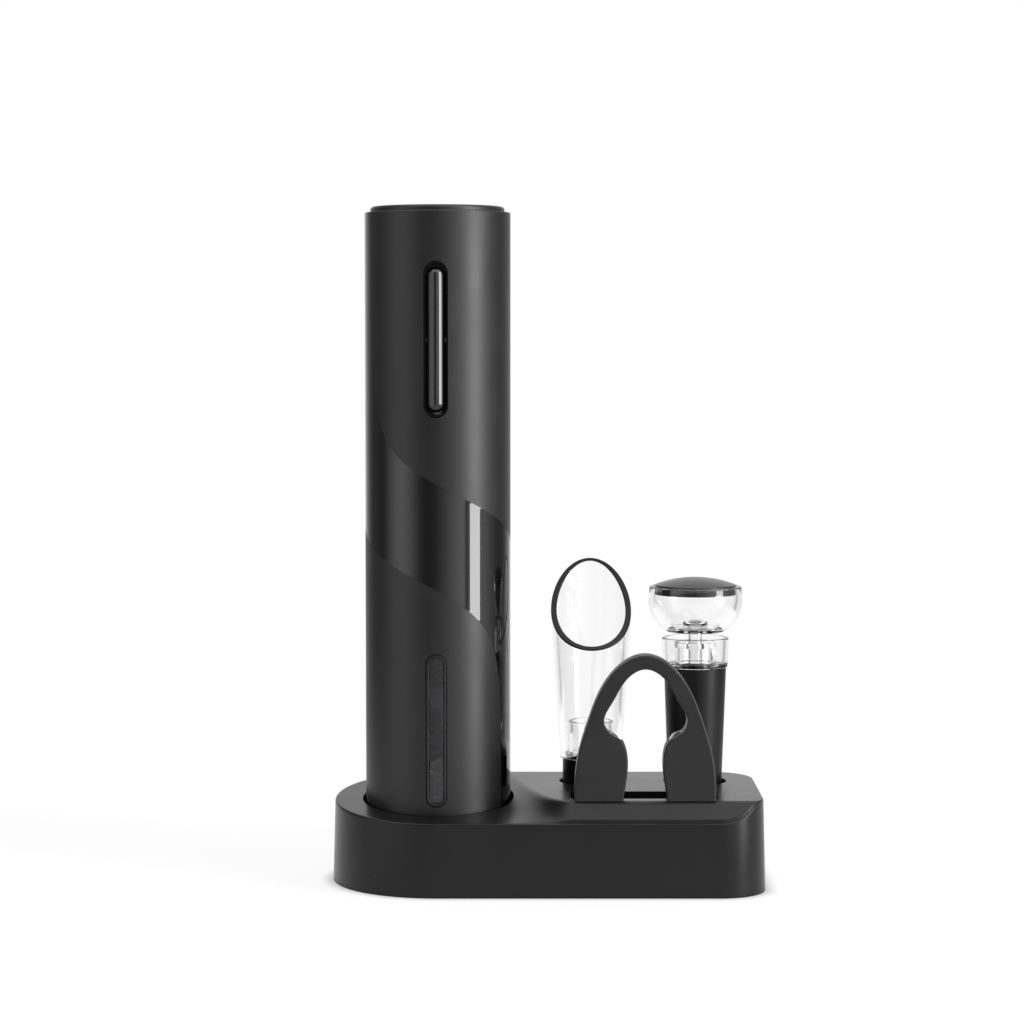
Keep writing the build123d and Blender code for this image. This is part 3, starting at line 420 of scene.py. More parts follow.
def deckOutline():
    # front half of the D from the left end round to the right end, then its mirror image;
    # gives points on the table and outward directions
    end, corner, right = baseDepth / 2, base["corner"], baseLength / 2
    leftArc = np.radians(np.linspace(180, 270, 61))[:-1]
    rightArc = np.radians(np.linspace(270, 360, 29))
    run = np.linspace(openerAxis[0], right - corner, 191)[:-1]
    rise = np.linspace(-end + corner, 0, 21)[1:]
    points = np.concatenate([
        np.stack([openerAxis[0] + end * np.cos(leftArc), end * np.sin(leftArc)], -1),
        np.stack([run, -end + 0 * run], -1),
        np.stack([right - corner + corner * np.cos(rightArc), -end + corner + corner * np.sin(rightArc)], -1),
        np.stack([right + 0 * rise, rise], -1)])
    outward = np.concatenate([
        np.stack([np.cos(leftArc), np.sin(leftArc)], -1), np.stack([0 * run, -1 + 0 * run], -1),
        np.stack([np.cos(rightArc), np.sin(rightArc)], -1), np.stack([1 + 0 * rise, 0 * rise], -1)])
    flip = np.array([1, -1])
    return [np.concatenate([line, line[-2:0:-1] * flip]) for line in (points, outward)]


def wellTool(name, centre, radius, floor):
    profile = np.array([(0, floor), (radius, floor), (radius, base["above"]), (0, base["above"])])
    return turned(name, profile, centre)


def blockTool(name, low, high, radius):
    # upright block with rounded corners
    loop = blockLoop(low, high, radius, 6)
    rows = np.stack([np.column_stack([loop, np.full(len(loop), z)]) for z in (low[2], high[2])])
    return gridObject(name, rows, False, True, (0, -1))


def well(name, centre, radius, floor):
    # cup let into the deck: its collar follows the deck, its edge is a quarter round, its floor is flat
    outer, lip = radius + base["collar"], base["lip"]
    angles = fullTurn(160)
    bend = np.linspace(np.pi / 2, np.pi, 7)
    reach = np.concatenate([[outer, radius + lip + base["hold"]], radius + lip + lip * np.cos(bend)])
    drop = np.concatenate([[0, 0], lip - lip * np.sin(bend)])
    top = around(centre, reach, angles, 0 * reach)
    top[..., 2] = deckHeight(top[..., 0], top[..., 1]) - drop
    under = floor - base["wellFloor"]
    wall = [(radius, base["platform"]), (radius, floor, base["wellRound"]), (0, floor)]
    inside = np.concatenate([roundedLine(wall, 5, False)[1:], [(0, under), (outer, under)]])
    cup = around(centre, inside[:, 0], angles, inside[:, 1])
    points = np.concatenate([top, cup], 1)
    piece = gridObject(name, points, True, True)
    dress(piece, "base", "base_black", ["base_shell"])


def baseBody():
    # one ring a row: underside, drafted wall, quarter-round edge, then the deck drawn in to the spine
    foot, outward = deckOutline()
    wallLow, draft, edge = baseLow[2], base["draft"], base["edgeRound"]
    top = base["frontEdge"] + 0 * foot[:, 0]
    for _ in range(4):  # the wall's top follows the deck, and the draft follows the wall's height
        rim = foot - outward * (top * draft)[:, None]
        top = deckHeight(rim[:, 0], rim[:, 1])
    spine = np.column_stack([np.clip(foot[:, 0], openerAxis[0], base["spineEnd"]), 0 * foot[:, 0]])

    def ring(inset, height):
        flat = foot - outward * (inset + 0 * height)[:, None]
        return np.column_stack([flat, height])

    level = 0 * top
    wall, underside, hem = (level + base[key] for key in ("wall", "underside", "hem"))
    rows = [np.column_stack([spine, underside]), ring(wall, underside),
            ring(wall, hem), ring(wallLow * draft + level, hem)]
    for share in np.linspace(0, 1, 12):
        height = wallLow + share * (top - edge - wallLow)
        rows.append(ring(height * draft, height))
    for bend in np.linspace(0, np.pi / 2, 7)[1:]:
        rows.append(ring((top - edge) * draft + edge * (1 - np.cos(bend)), top - edge + edge * np.sin(bend)))
    shore = rows[-1][:, :2]
    for share in np.linspace(0, 1, 76)[1:]:
        flat = shore + share * (spine - shore)
        rows.append(np.column_stack([flat, deckHeight(flat[:, 0], flat[:, 1])]))
    body = gridObject("baseBody", np.stack(rows), False, True)
    wells = [("openerWell", openerAxis, openerLow[2]), ("pourerWell", pourerAxis, boxOf("pourer_plug")[0][2]),
             ("stopperWell", stopperAxis, boxOf("stopper_sleeve")[0][2])]
    tools = [wellTool(name + "Tool", centre, radius + base["collar"], floor - base["wellFloor"])
             for (name, centre, floor), radius in zip(wells, base["wells"])]
    slotX = sum(boxOf("cutter_body")[i][0] for i in (0, 1)) / 2
    half, front, back, depth = base["slot"]
    for name, end, drop in (("slotTool", back, depth), ("ledgeTool", *base["ledge"])):
        tools.append(blockTool(name, (slotX - half, ridgeY + front, base["platform"] - drop),
                               (slotX + half, ridgeY + end, base["above"]), base["slotRound"]))
    carve(body, *tools)
    dress(body, "base", "base_black", ["base_shell"], 30)
    for (name, centre, floor), radius in zip(wells, base["wells"]):
        well(name, centre, radius, floor)


baseBody()
print("base made")


# Opener: tube with a seat for the glossy ribbon, whose edges run as a tanh of the height

sleeve = {
    "radius": (openerHigh[0] - openerLow[0]) / 2,
    "bore": 22.3,
    "seat": 1.2,             # depth of the ribbon
    "middle": 120.3,         # height where the sweep is steepest
    "rise": 21.6,            # between the two edges' middles
    "turn": 93.0,            # half the sweep of an edge in degrees
    "lean": 32.0,            # degrees from the front to an edge's middle
    "span": 19.7,            # an edge makes 76 % of its sweep within this height of its middle
    "seam": 0.05,            # gap round the ribbon
    "edge": 0.35,            # rounding of the ends
    "rows": 190,
    "columns": (131, 33, 45),  # skin, seat and ribbon
    "crowd": (4, 26),        # rows added to each one at the middle, and how far each way most of them lie
    "cut": (2.0, 12.0),      # slots run from this far before the sleeve to this far before the axis
    "socketFit": 0.6,        # the charging hole is this much larger than its socket
}


def ribbonEdge(height, side):  # degrees from the front, +1 upper edge, -1 lower edge
    middle = sleeve["middle"] + side * sleeve["rise"] / 2
    return side * sleeve["lean"] - sleeve["turn"] * np.tanh((height - middle) / sleeve["span"])


def sleeveHeights():
    # rows crowd together where the ribbon sweeps round
    fine = np.linspace(openerLow[2], openerHigh[2], 2000)
    closer, span = sleeve["crowd"]
    weight = 1 + closer / np.cosh((fine - sleeve["middle"]) / span) ** 2
    run = np.cumsum(weight) - weight[0]
    edge = sleeve["edge"]
    heights = np.interp(np.linspace(0, run[-1], sleeve["rows"]), run, fine)[1:-1]
    heights = heights[(heights > openerLow[2] + edge) & (heights < openerHigh[2] - edge)]
    bend = np.linspace(0, np.pi / 2, 5)
    low = openerLow[2] + edge * (1 - np.cos(bend))
    high = openerHigh[2] - edge + edge * np.sin(bend)
    drops = np.concatenate([edge * (1 - np.sin(bend)), 0 * heights, edge * (1 - np.cos(bend))])
    return np.concatenate([low, heights, high]), drops


def onSleeve(radius, degrees, height):
    return around(openerAxis, radius, np.radians(degrees), height)


def slotTool(name, width, length, middle):
    loop = stadium(width, length, 0)
    x, z = openerAxis[0] + loop[:, 0], middle + loop[:, 1]
    rows = [np.column_stack([x, np.full(len(loop), openerAxis[1] + y), z])
            for y in (-sleeve["radius"] - sleeve["cut"][0], -sleeve["cut"][1])]
    return gridObject(name, np.stack(rows), False, True, (0, -1))


button = {"middle": 186.7, "width": 6.4, "length": 48.9, "slotWidth": 8.2, "slotLength": 52.5,
          "proud": 0.5, "crown": 2.0, "crest": 1.64, "depth": 4.6, "heel": 0.3, "gap": 0.1,
          "fit": 0.05, "recess": 1.9, "fall": 0.25, "rounds": (0.3, 0.35), "surroundDepth": 4.0}
window = {"middle": 54.85, "width": 7.3, "length": 52.1, "recess": 0.2, "border": 1.1,
          "seam": 0.22, "groove": 0.2, "round": 0.2, "thick": 2.2, "thin": 1.3}


def sleeveTube():
    # each row is one loop: matt skin from the upper edge round the back to the lower edge, then the seat
    heights, drops = sleeveHeights()
    high, low = ribbonEdge(heights, 1)[:, None], ribbonEdge(heights, -1)[:, None]
    skinColumns, seatColumns = sleeve["columns"][:2]
    skin = high + (low + 360 - high) * np.linspace(0, 1, skinColumns)
    seat = low + (high - low) * np.linspace(0, 1, seatColumns)
    turn = np.concatenate([skin, seat + 360], 1)
    depth = np.concatenate([np.zeros(skinColumns), np.full(seatColumns, sleeve["seat"])])
    outer = onSleeve(sleeve["radius"] - depth - drops[:, None], turn, heights[:, None])
    inner = onSleeve(sleeve["bore"], turn, heights[:, None])[::-1]
    points = np.concatenate([outer, inner])
    tube = gridObject("sleeveTube", points, True, True)
    carve(tube, slotTool("buttonSlot", button["slotWidth"], button["slotLength"], button["middle"]),
          slotTool("windowSlot", window["width"], window["length"], window["middle"]), socketTool())
    dress(tube, "opener", "sleeve_black", ["outer_sleeve"], 40)


def socketTool():  # oval hole for the charging socket at the back
    low, high = boxOf("usb_socket")
    size, middle = high - low + sleeve["socketFit"], (low + high) / 2
    loop = stadium(size[2], size[0], 0)
    rows = [np.column_stack([middle[0] + loop[:, 1], np.full(len(loop), y), middle[2] + loop[:, 0]])
            for y in (low[1], openerHigh[1] + sleeve["cut"][0])]
    return gridObject("socketTool", np.stack(rows), False, True, (0, -1))


def ribbonSkin():
    # the seat's own outline, drawn in by the seam and filled up flush with the sleeve
    heights, drops = sleeveHeights()
    seam = math.degrees(sleeve["seam"] / sleeve["radius"])
    high, low = ribbonEdge(heights, 1)[:, None] - seam, ribbonEdge(heights, -1)[:, None] + seam
    turn = low + (high - low) * np.linspace(0, 1, sleeve["columns"][2])
    outer = onSleeve(sleeve["radius"] - drops[:, None], turn, heights[:, None])
    inner = onSleeve(sleeve["radius"] - sleeve["seat"] + sleeve["seam"], turn, heights[:, None])
    points = np.concatenate([outer, inner[:, ::-1]], 1)
    skin = gridObject("ribbonSkin", points, False, True, (0, -1))
    dress(skin, "opener", "gloss_black", ["gloss_ribbon"], 50)


cap = {"radius": 23.0, "spigot": 21.9, "deep": 3.0, "gap": 0.02, "round": 1.2}


def topCap():
    # disc with a rounded edge on a spigot that stands in the sleeve
    low, seat, high = openerHigh[2] - cap["deep"], openerHigh[2] - cap["gap"], boxOf("top_cap")[1][2]
    profile = roundedLine([(0, low), (cap["spigot"], low), (cap["spigot"], seat), (cap["radius"], seat),
                           (cap["radius"], high, cap["round"]), (0, high)], 8, False)
    dress(turned("topCap", profile, openerAxis, 192), "opener", "sleeve_black", ["top_cap"])


def upright(name, width, length, middle, profile, ring, place):
    # oval loops: each step of the profile is (inset, depth), and place puts (across, height, depth)
    # on the opener; an end loop is capped, unless it is drawn to a line and closes itself
    loops = []
    for inset, depth in profile:
        loop = stadium(width, length, inset)
        loops.append(place(loop[:, 0], middle + loop[:, 1], depth))
    wide = [row for row in (0, -1) if not ring and profile[row][0] < width / 2]
    return gridObject(name, np.stack(loops), ring, True, wide)


def flatPlace(across, height, depth):  # depth straight back from the sleeve's front line
    front = openerAxis[1] - sleeve["radius"]
    return np.column_stack([openerAxis[0] + across, np.full(len(across), front + depth), height])


def roundPlace(across, height, depth):  # depth along the sleeve's radius
    return onSleeve(sleeve["radius"] - depth, np.degrees(across / sleeve["radius"]), height)


def rockerButton():
    # crown: depth falls away with a power of the distance from the middle line
    off = np.linspace(1, 0, 14)
    inset = button["width"] / 2 * (1 - off)
    depth = -button["proud"] + button["crown"] * off ** button["crest"]
    heel, back = button["heel"], button["depth"]
    profile = np.concatenate([[(heel, back), (0, back - heel)], np.column_stack([inset, depth])])
    bar = upright("rockerBar", button["width"], button["length"], button["middle"], profile, False, flatPlace)
    dress(bar, "rocker", "gloss_black", ["rocker_button"])


def buttonSurround():
    # rounded section between the slot and the bar, falling a little towards the bar
    wide = (button["slotWidth"] - button["width"]) / 2 - button["gap"]
    fit, face, deep = button["fit"], button["recess"], button["surroundDepth"]
    outside, inside = button["rounds"]
    profile = roundedLine([(fit, deep), (fit, face, outside),
                           (wide, face + button["fall"], inside), (wide, deep)], 5)
    frameRing = upright("buttonSurround", button["slotWidth"], button["slotLength"], button["middle"],
                        profile, True, flatPlace)
    dress(frameRing, "opener", "black_rubber", ["button_surround"])


def windowPane():
    # border ring just under the sleeve's surface, a fine groove, then a smooth clear pane
    width, length, middle = (window[key] for key in ("width", "length", "middle"))
    border, recess, seam, thick, thin, r = (
        window[key] for key in ("border", "recess", "seam", "thick", "thin", "round"))
    edge, half = border + window["groove"], width / 2
    section = roundedLine([(seam, thick), (seam, recess, r), (border, recess, r), (border, thick)], 5)
    frameRing = upright("windowBorder", width, length, middle, section, True, roundPlace)
    dress(frameRing, "opener", "sleeve_black", ["window_lens"])
    across = np.linspace(edge + 2 * r, half, 7)
    front = roundedLine([(edge, thin), (edge, recess, r), (across[0], recess)], 5, False)[:-1]
    profile = np.concatenate([np.column_stack([across, thin + 0 * across])[::-1], front,
                              np.column_stack([across, recess + 0 * across])])
    pane = upright("windowLens", width, length, middle, profile, False, roundPlace)
    dress(pane, "opener", "smoke_clear", ["window_lens"])


sleeveTube()
ribbonSkin()
topCap()
rockerButton()
buttonSurround()
windowPane()
print("opener made")


# Foil cutter: a rounded section carried along the arch between its outer and inner curve

cutterLow, cutterHigh = boxOf("cutter_body")
cutter = {
    "thick": 8.0, "round": 0.7, "height": 49.35, "half": 23.88, "crown": 4.83,
    "outer": [(0.57, 0.81), (0.8, 0.56), (0.955, 0.3), (1.0, 0.06)],  # shares of half width and height
    "inner": [(0.256, 0.839), (0.475, 0.669), (0.585, 0.55), (0.53, 0.478), (0.34, 0.416), (0.253, 0.305)],
    "foot": 7.4, "steps": 110, "wheelX": 11.94, "wheelHeight": 19.49, "wheelRadius": 4.5, "wheelSlot": 1.2,
    "tongueHalf": 7.45, "tongueFront": 5.7, "tongueRound": 0.6,
    "tongueEnds": [(0.8, -10), (0.2, -9.8), (0, -9.2), (0, 7.2), (0.2, 7.8), (0.8, 8)],  # inset, height
}


def cutterArch():
    # each step along the arch is one section from the inner to the outer curve, with quarter-round corners
    middle, floor = (cutterLow[0] + cutterHigh[0]) / 2, base["platform"]
    size = np.array([cutter["half"], cutter["height"]])
    outer = smoothCurve([(0, size[1]), *(np.array(cutter["outer"]) * size), (size[0], 0)],
                        cutter["steps"], (1, 0), (0, -1))
    inner = smoothCurve([(0, size[1] - cutter["crown"]), *(np.array(cutter["inner"]) * size),
                         (cutter["foot"], 0)], cutter["steps"], (1, 0), (0.1, -1))
    flip = np.array([-1, 1])
    outer = np.concatenate([outer[:0:-1] * flip, outer])
    inner = np.concatenate([inner[:0:-1] * flip, inner])
    width = np.linalg.norm(outer - inner, axis=1)[:, None]
    along = (outer - inner) / width
    r = cutter["round"]
    corner = np.linspace(0, np.pi / 2, 6)
    into = r * (1 - np.sin(corner))          # from the edge inwards
    deep = r * (1 - np.cos(corner))          # from the face backwards
    thick = cutter["thick"]
    innerSide, outerSide = 0 * corner, 0 * corner + 1
    side = np.concatenate([innerSide, outerSide, outerSide, innerSide])
    offset = np.concatenate([into[::-1], -into, -into[::-1], into])
    back = np.concatenate([deep[::-1], deep, thick - deep[::-1], thick - deep])
    reach = side * width + offset
    flat = inner[:, None, :] + along[:, None, :] * reach[:, :, None]
    y = cutterLow[1] + np.broadcast_to(back, reach.shape)
    points = np.stack([middle + flat[..., 0], y, floor + flat[..., 1]], -1)
    arch = gridObject("cutterArch", points, False, True, (0, -1))
    tools = []
    radius, half = cutter["wheelRadius"], cutter["wheelSlot"] / 2
    profile = np.array([(0, -half), (radius, -half), (radius, half), (0, half)])
    angles = fullTurn(48)
    for hand in (-1, 1):  # thin discs that clear the wheels
        hub = (middle + hand * cutter["wheelX"], cutterLow[1] + thick / 2, floor + cutter["wheelHeight"])
        disc = np.stack([hub[0] + profile[:, 0] * np.cos(angles), hub[1] + profile[:, 1] + 0 * angles,
                         hub[2] + profile[:, 0] * np.sin(angles)], -1)
        tools.append(gridObject("wheelTool" + str(hand + 1), disc, True, False))
    carve(arch, *tools)
    dress(arch, "foil_cutter", "trim_black", ["cutter_body"], 38)


def cutterTongues():
    # rounded blocks behind the feet that reach down into the slot
    middle, floor = (cutterLow[0] + cutterHigh[0]) / 2, base["platform"]
    half, front, back = cutter["tongueHalf"], ridgeY + cutter["tongueFront"], cutterHigh[1]
    for hand, name in ((-1, "cutterTongueLeft"), (1, "cutterTongueRight")):
        centre = middle + hand * (cutter["foot"] + cutter["half"]) / 2
        loops = []
        for inset, rise in cutter["tongueEnds"]:
            loop = blockLoop((centre - half + inset, front + inset), (centre + half - inset, back - inset),
                             cutter["tongueRound"], 5)
            loops.append(np.column_stack([loop, np.full(len(loop), floor + rise)]))
        tongue = gridObject(name, np.stack(loops), False, True, (0, -1))
        dress(tongue, "foil_cutter", "trim_black", ["cutter_body"])


cutterArch()
cutterTongues()
print("foil cutter made")


# Pourer: flared clear tube with a slanted, slightly hollow mouth and a dark lip

pourer = {
    "plugRadius": 9.9, "plugTop": 40.05, "plugLow": 12.0, "bore": 7.9,
    "tubeRadius": 7.85, "tubeWall": 1.25, "tubeLow": 17.0, "tubeTop": 52.95,
    "wall": 1.7, "foot": (10.7, 40.05), "knee": (11.15, 47.4), "mouth": (15.43, 111.0),
    "lip": 91.3, "slope": 1.06, "hollow": 0.0118,
    "lipThick": 0.62, "lipRound": 0.25, "lipInset": (0.05, 2.05), "lipGap": 0.02,
    "tip": 1.2,              # rounding of the tip
    "thinning": (0.28, 0.72),  # how much thinner the lip is in front and behind
    "columns": 160, "tubeRound": 0.4, "plugRound": 0.4,
    "heel": 1.6,             # ledge in the plug that carries the tube
    "chamfer": 1.5, "collar": 1.0,  # at the plug's foot; how far the collar reaches under the deck
    "fins": 4, "fin": 0.6, "finRoom": 4.0,  # sealing fins, half their depth, height that they leave free
    "tooth": [(-1, 0, 0.2), (1, 0.6, 0.25), (-1, 0.75, 0.2)],  # side, share of the pitch, rounding
}


def spoutRadius(height):  # outside radius: short foot, then an even flare
    stations = np.array([pourer["foot"], pourer["knee"], pourer["mouth"]])
    return np.interp(height, stations[:, 1], stations[:, 0])


def backShare(turn):  # 0 at the front, 1 at the back
    return (1 - np.cos(turn)) / 2


def lipShare(turn):
    # thickness of the lip round the mouth: 1, less a sixth power that peaks at the front and one at the back
    ahead, behind = pourer["thinning"]
    return 1 - ahead * (1 - backShare(turn)) ** 6 - behind * backShare(turn) ** 6


def lipHeight(turn, inset, drop):
    # height where the slanted mouth z = lip + slope y + hollow y^2 meets the flare, by repeated substitution,
    # less the drop and, towards the back, the rounding of the tip
    height = pourer["lip"] + 0 * turn
    tip = pourer["tip"] * backShare(turn) ** 3
    for _ in range(30):
        y = -(spoutRadius(height) - inset) * np.cos(turn)
        height = pourer["lip"] + pourer["slope"] * y + pourer["hollow"] * y * y - drop - tip
    return height


def spout():
    # wall between the flare and the flare drawn in, up to the lip, where it thins
    turn = fullTurn(pourer["columns"])
    wall, low = pourer["wall"], pourer["foot"][1]
    share = np.concatenate([np.linspace(0, 0.16, 7), np.linspace(0.16, 1, 40)[1:]])
    thin = lipShare(turn)
    lip = pourer["lipThick"] * thin
    outerTop, innerTop = lipHeight(turn, 0, lip), lipHeight(turn, wall * thin, lip)
    outerHeight = low + share * (outerTop - low)
    innerHeight = low + wall + share[::-1] * (innerTop - low - wall)
    outer = spoutRadius(outerHeight)
    inner = spoutRadius(innerHeight) - wall * (1 - (1 - thin) * share[::-1] ** 2)
    bore = np.array([pourer["bore"], pourer["bore"]]) + 0 * turn
    radius = np.concatenate([outer, inner, bore], 1)
    height = np.concatenate([outerHeight, innerHeight, np.array([low + wall, low]) + 0 * turn], 1)
    made = gridObject("spout", around(pourerAxis, radius, turn, height), True, True)
    dress(made, "pourer", "clear_acrylic", ["pourer_spout"], 40)


def spoutLip():
    # rounded section (inset, drop) carried round the mouth
    turn = fullTurn(pourer["columns"])
    under, r = pourer["lipThick"] - pourer["lipGap"], pourer["lipRound"]
    first, last = pourer["lipInset"]
    section = roundedLine([(first, under), (first, 0, r), (last, 0, r), (last, under)], 6)
    thin = lipShare(turn)
    inset, drop = section[:, 0] * thin, section[:, 1] * thin
    height = lipHeight(turn + 0 * inset, inset, drop)
    radius = spoutRadius(height) - inset
    made = gridObject("spoutLip", around(pourerAxis, radius, turn, height), True, True)
    dress(made, "pourer", "black_rubber", ["pourer_rim"], 40)


def pourerInside():
    # straight tube, and a plug turned from its sealing fins, collar and bore
    radius, wall, foot, top, r = (
        pourer[key] for key in ("tubeRadius", "tubeWall", "tubeLow", "tubeTop", "tubeRound"))
    profile = roundedLine([(radius, foot), (radius, top, r),
                           (radius - wall, top, r), (radius - wall, foot)], 4)
    dress(turned("pourerTube", profile, pourerAxis, 120), "pourer", "clear_acrylic", ["pourer_tube"])
    outside, low, high, bore = pourer["plugRadius"], pourer["plugLow"], pourer["plugTop"], pourer["bore"]
    chamfer, r, heel = pourer["chamfer"], pourer["plugRound"], bore - pourer["heel"]
    corners = [(outside - chamfer, low, 0.3)]
    pitch = (base["platform"] - low - pourer["finRoom"]) / pourer["fins"]
    for i in range(pourer["fins"]):  # saw teeth
        start = low + chamfer + i * pitch
        corners += [(outside + side * pourer["fin"], start + share * pitch, edge)
                    for side, share, edge in pourer["tooth"]]
    corners += [(outside, base["platform"] - pourer["collar"], r), (outside, high, r),
                (bore, high), (bore, foot), (heel, foot), (heel, low)]
    plug = turned("pourerPlug", roundedLine(corners, 4), pourerAxis, 120)
    dress(plug, "pourer", "black_rubber", ["pourer_plug"])


spout()
spoutLip()
pourerInside()
print("pourer made")


# Vacuum stopper: rubber sleeve, clear collar with its pump barrel, clear bowl with a domed cap

stopper = {
    "sleeve": [(0, 10), (8.7, 10, 1.0), (10.9, 72.0, 0.6), (7.25, 72.0), (7.25, 17), (0, 17)],
    "barrel": [(5.6, 17), (7.2, 17), (7.2, 72.0), (11.4, 72.0, 0.3), (11.8, 82.3, 0.5),
               (10.2, 82.3, 0.4), (9.85, 73.2, 0.5), (7.2, 73.2, 0.3), (7.2, 80.8, 0.3),
               (2.36, 80.8), (2.36, 78.8), (5.6, 78.8)],
    "rod": [(0, 28), (2.3, 28), (2.3, 86.6), (0, 86.6)],
    "wall": 1.9, "low": 84.35, "radius": 16.25, "rim": 96.9, "top": 100.4,
    "boss": 4.4, "bossTop": 87.7, "bore": 2.35,
    "bowlFoot": 0.6, "bowlBend": (0.945, 0.52),       # shares of the radius and of the height up to the rim
    "rimArc": [(0, 0.5), (0.4, 0.1), (0.95, 0)],      # in from the rim and down from the top
    "bossEdge": 0.5, "rimEdge": 0.3,
    "capRadius": 14.3, "capLow": 97.6, "capSide": 100.8, "capTop": 103.45,
    "capEdges": (0.3, 0.5), "capDrop": 0.05,          # rounding below and above, side's end under the dome
}


def bowlProfile(inset):  # flat underside, one full curve, upright rim
    s = stopper
    foot, rim = s["bowlFoot"] * s["radius"] - inset / 2, s["radius"] - inset
    out, up = s["bowlBend"]
    bend = (out * s["radius"] - inset, s["low"] + up * (s["rim"] - s["low"]) + 0.4 * inset)
    curve = arcThrough((foot, s["low"] + inset), bend, (rim, s["rim"]), 20)
    return np.concatenate([curve, [(rim, s["top"] - s["rimArc"][0][1])]])


def stopperPieces():
    # all turned about one axis: plain profiles, the bowl with its boss, a cap whose dome is part of a ball
    s = stopper
    plug = turned("stopperSleeve", roundedLine(s["sleeve"], 6, False), stopperAxis, 128)
    dress(plug, "stopper", "black_rubber", ["stopper_sleeve"])
    barrel = turned("stopperBarrel", roundedLine(s["barrel"], 5), stopperAxis, 128)
    dress(barrel, "stopper", "clear_acrylic", ["stopper_barrel"])
    rod = turned("pumpRod", np.array(s["rod"], float), stopperAxis, 64)
    dress(rod, "pump", "clear_acrylic", ["pump_rod"])
    outer, inner = bowlProfile(0), bowlProfile(s["wall"])
    rimTop = arcThrough(*[(s["radius"] - inward, s["top"] - down) for inward, down in s["rimArc"]], 5)
    bore, rodTop = s["bore"], s["rod"][-1][1]
    boss, bossTop, edge = s["boss"], s["bossTop"], s["bossEdge"]
    bossed = [(boss, s["low"] + s["wall"]), (boss, bossTop - edge), (boss - edge, bossTop), (0, bossTop)]
    profile = np.concatenate([[(0, rodTop), (bore, rodTop), (bore, s["low"])], outer, rimTop[1:],
                              [(s["radius"] - s["wall"] + s["rimEdge"], s["top"])], inner[::-1], bossed])
    dress(turned("pumpBowl", profile, stopperAxis, 160), "pump", "clear_acrylic", ["pump_head"])
    radius, rise = s["capRadius"], s["capTop"] - s["capSide"]
    under, edge = s["capEdges"]
    dome = (radius ** 2 + rise ** 2) / (2 * rise)
    swing = np.linspace(math.asin((radius - edge) / dome), 0, 16)
    crown = np.column_stack([dome * np.sin(swing), s["capTop"] - dome * (1 - np.cos(swing))])
    side = roundedLine([(0, s["capLow"]), (radius, s["capLow"], under),
                        (radius, s["capSide"] - s["capDrop"], edge), crown[0]], 5, False)
    lid = turned("pumpCap", np.concatenate([side, crown[1:]]), stopperAxis, 160)
    dress(lid, "pump", "cap_grey", ["pump_cap"])


stopperPieces()
print("stopper made")


# Studio: white surroundings behind the object, darker in front, with tall soft panels at the sides

def panel(name, bearing, distance, width, height, radiance, lift):
    # bearing is in degrees to the right of the camera's side; power of a flat lamp = radiance x area x pi
    lamp = bpy.data.lights.new(name, "AREA")
    lamp.shape = "RECTANGLE"
    lamp.size, lamp.size_y = width, height
    lamp.energy = radiance * width * height * math.pi
    made = newObject(name, lamp)
    turn = math.radians(bearing)
    made.location = (distance * math.sin(turn), -distance * math.cos(turn), lift)
    made.rotation_euler = (math.radians(90), 0, turn)
    return made


studio = {
    "strip": (61, 1.3, 0.42, 1.7, 10.5, 0.7),    # bearing, distance, width, height, radiance, middle's height
    "top": (1.6, 1.4, 1.3, 0.1),                 # width, height above the table, radiance, how far back
    "ambient": 0.45,
    "dark": 0.22,                                # dark side of the room, in front of the object
    "behind": (122, 168),                        # bearings between which the white backdrop begins
    "glass": (110, 160),                         # the same as seen through clear pieces
    "glassDark": 0.03,                           # in front, as seen through clear pieces
    # two soft panels and a black flag: bearing, reach, radiance
    "soft": [(-58, 40, 1.38), (52, 64, 1.75), (48, 6, -1.3)],
    "table": 0.32,                               # radius of the round white table
    "paper": "#f4f4f4",
    "glow": 0.85,                                # share of plain white in it, as eye and mirrors see it
    "paintedContactShade": (5, 0.05, 1.02),                     # painted contact shadow under the object: reach in mm, level of the glow in and out
}


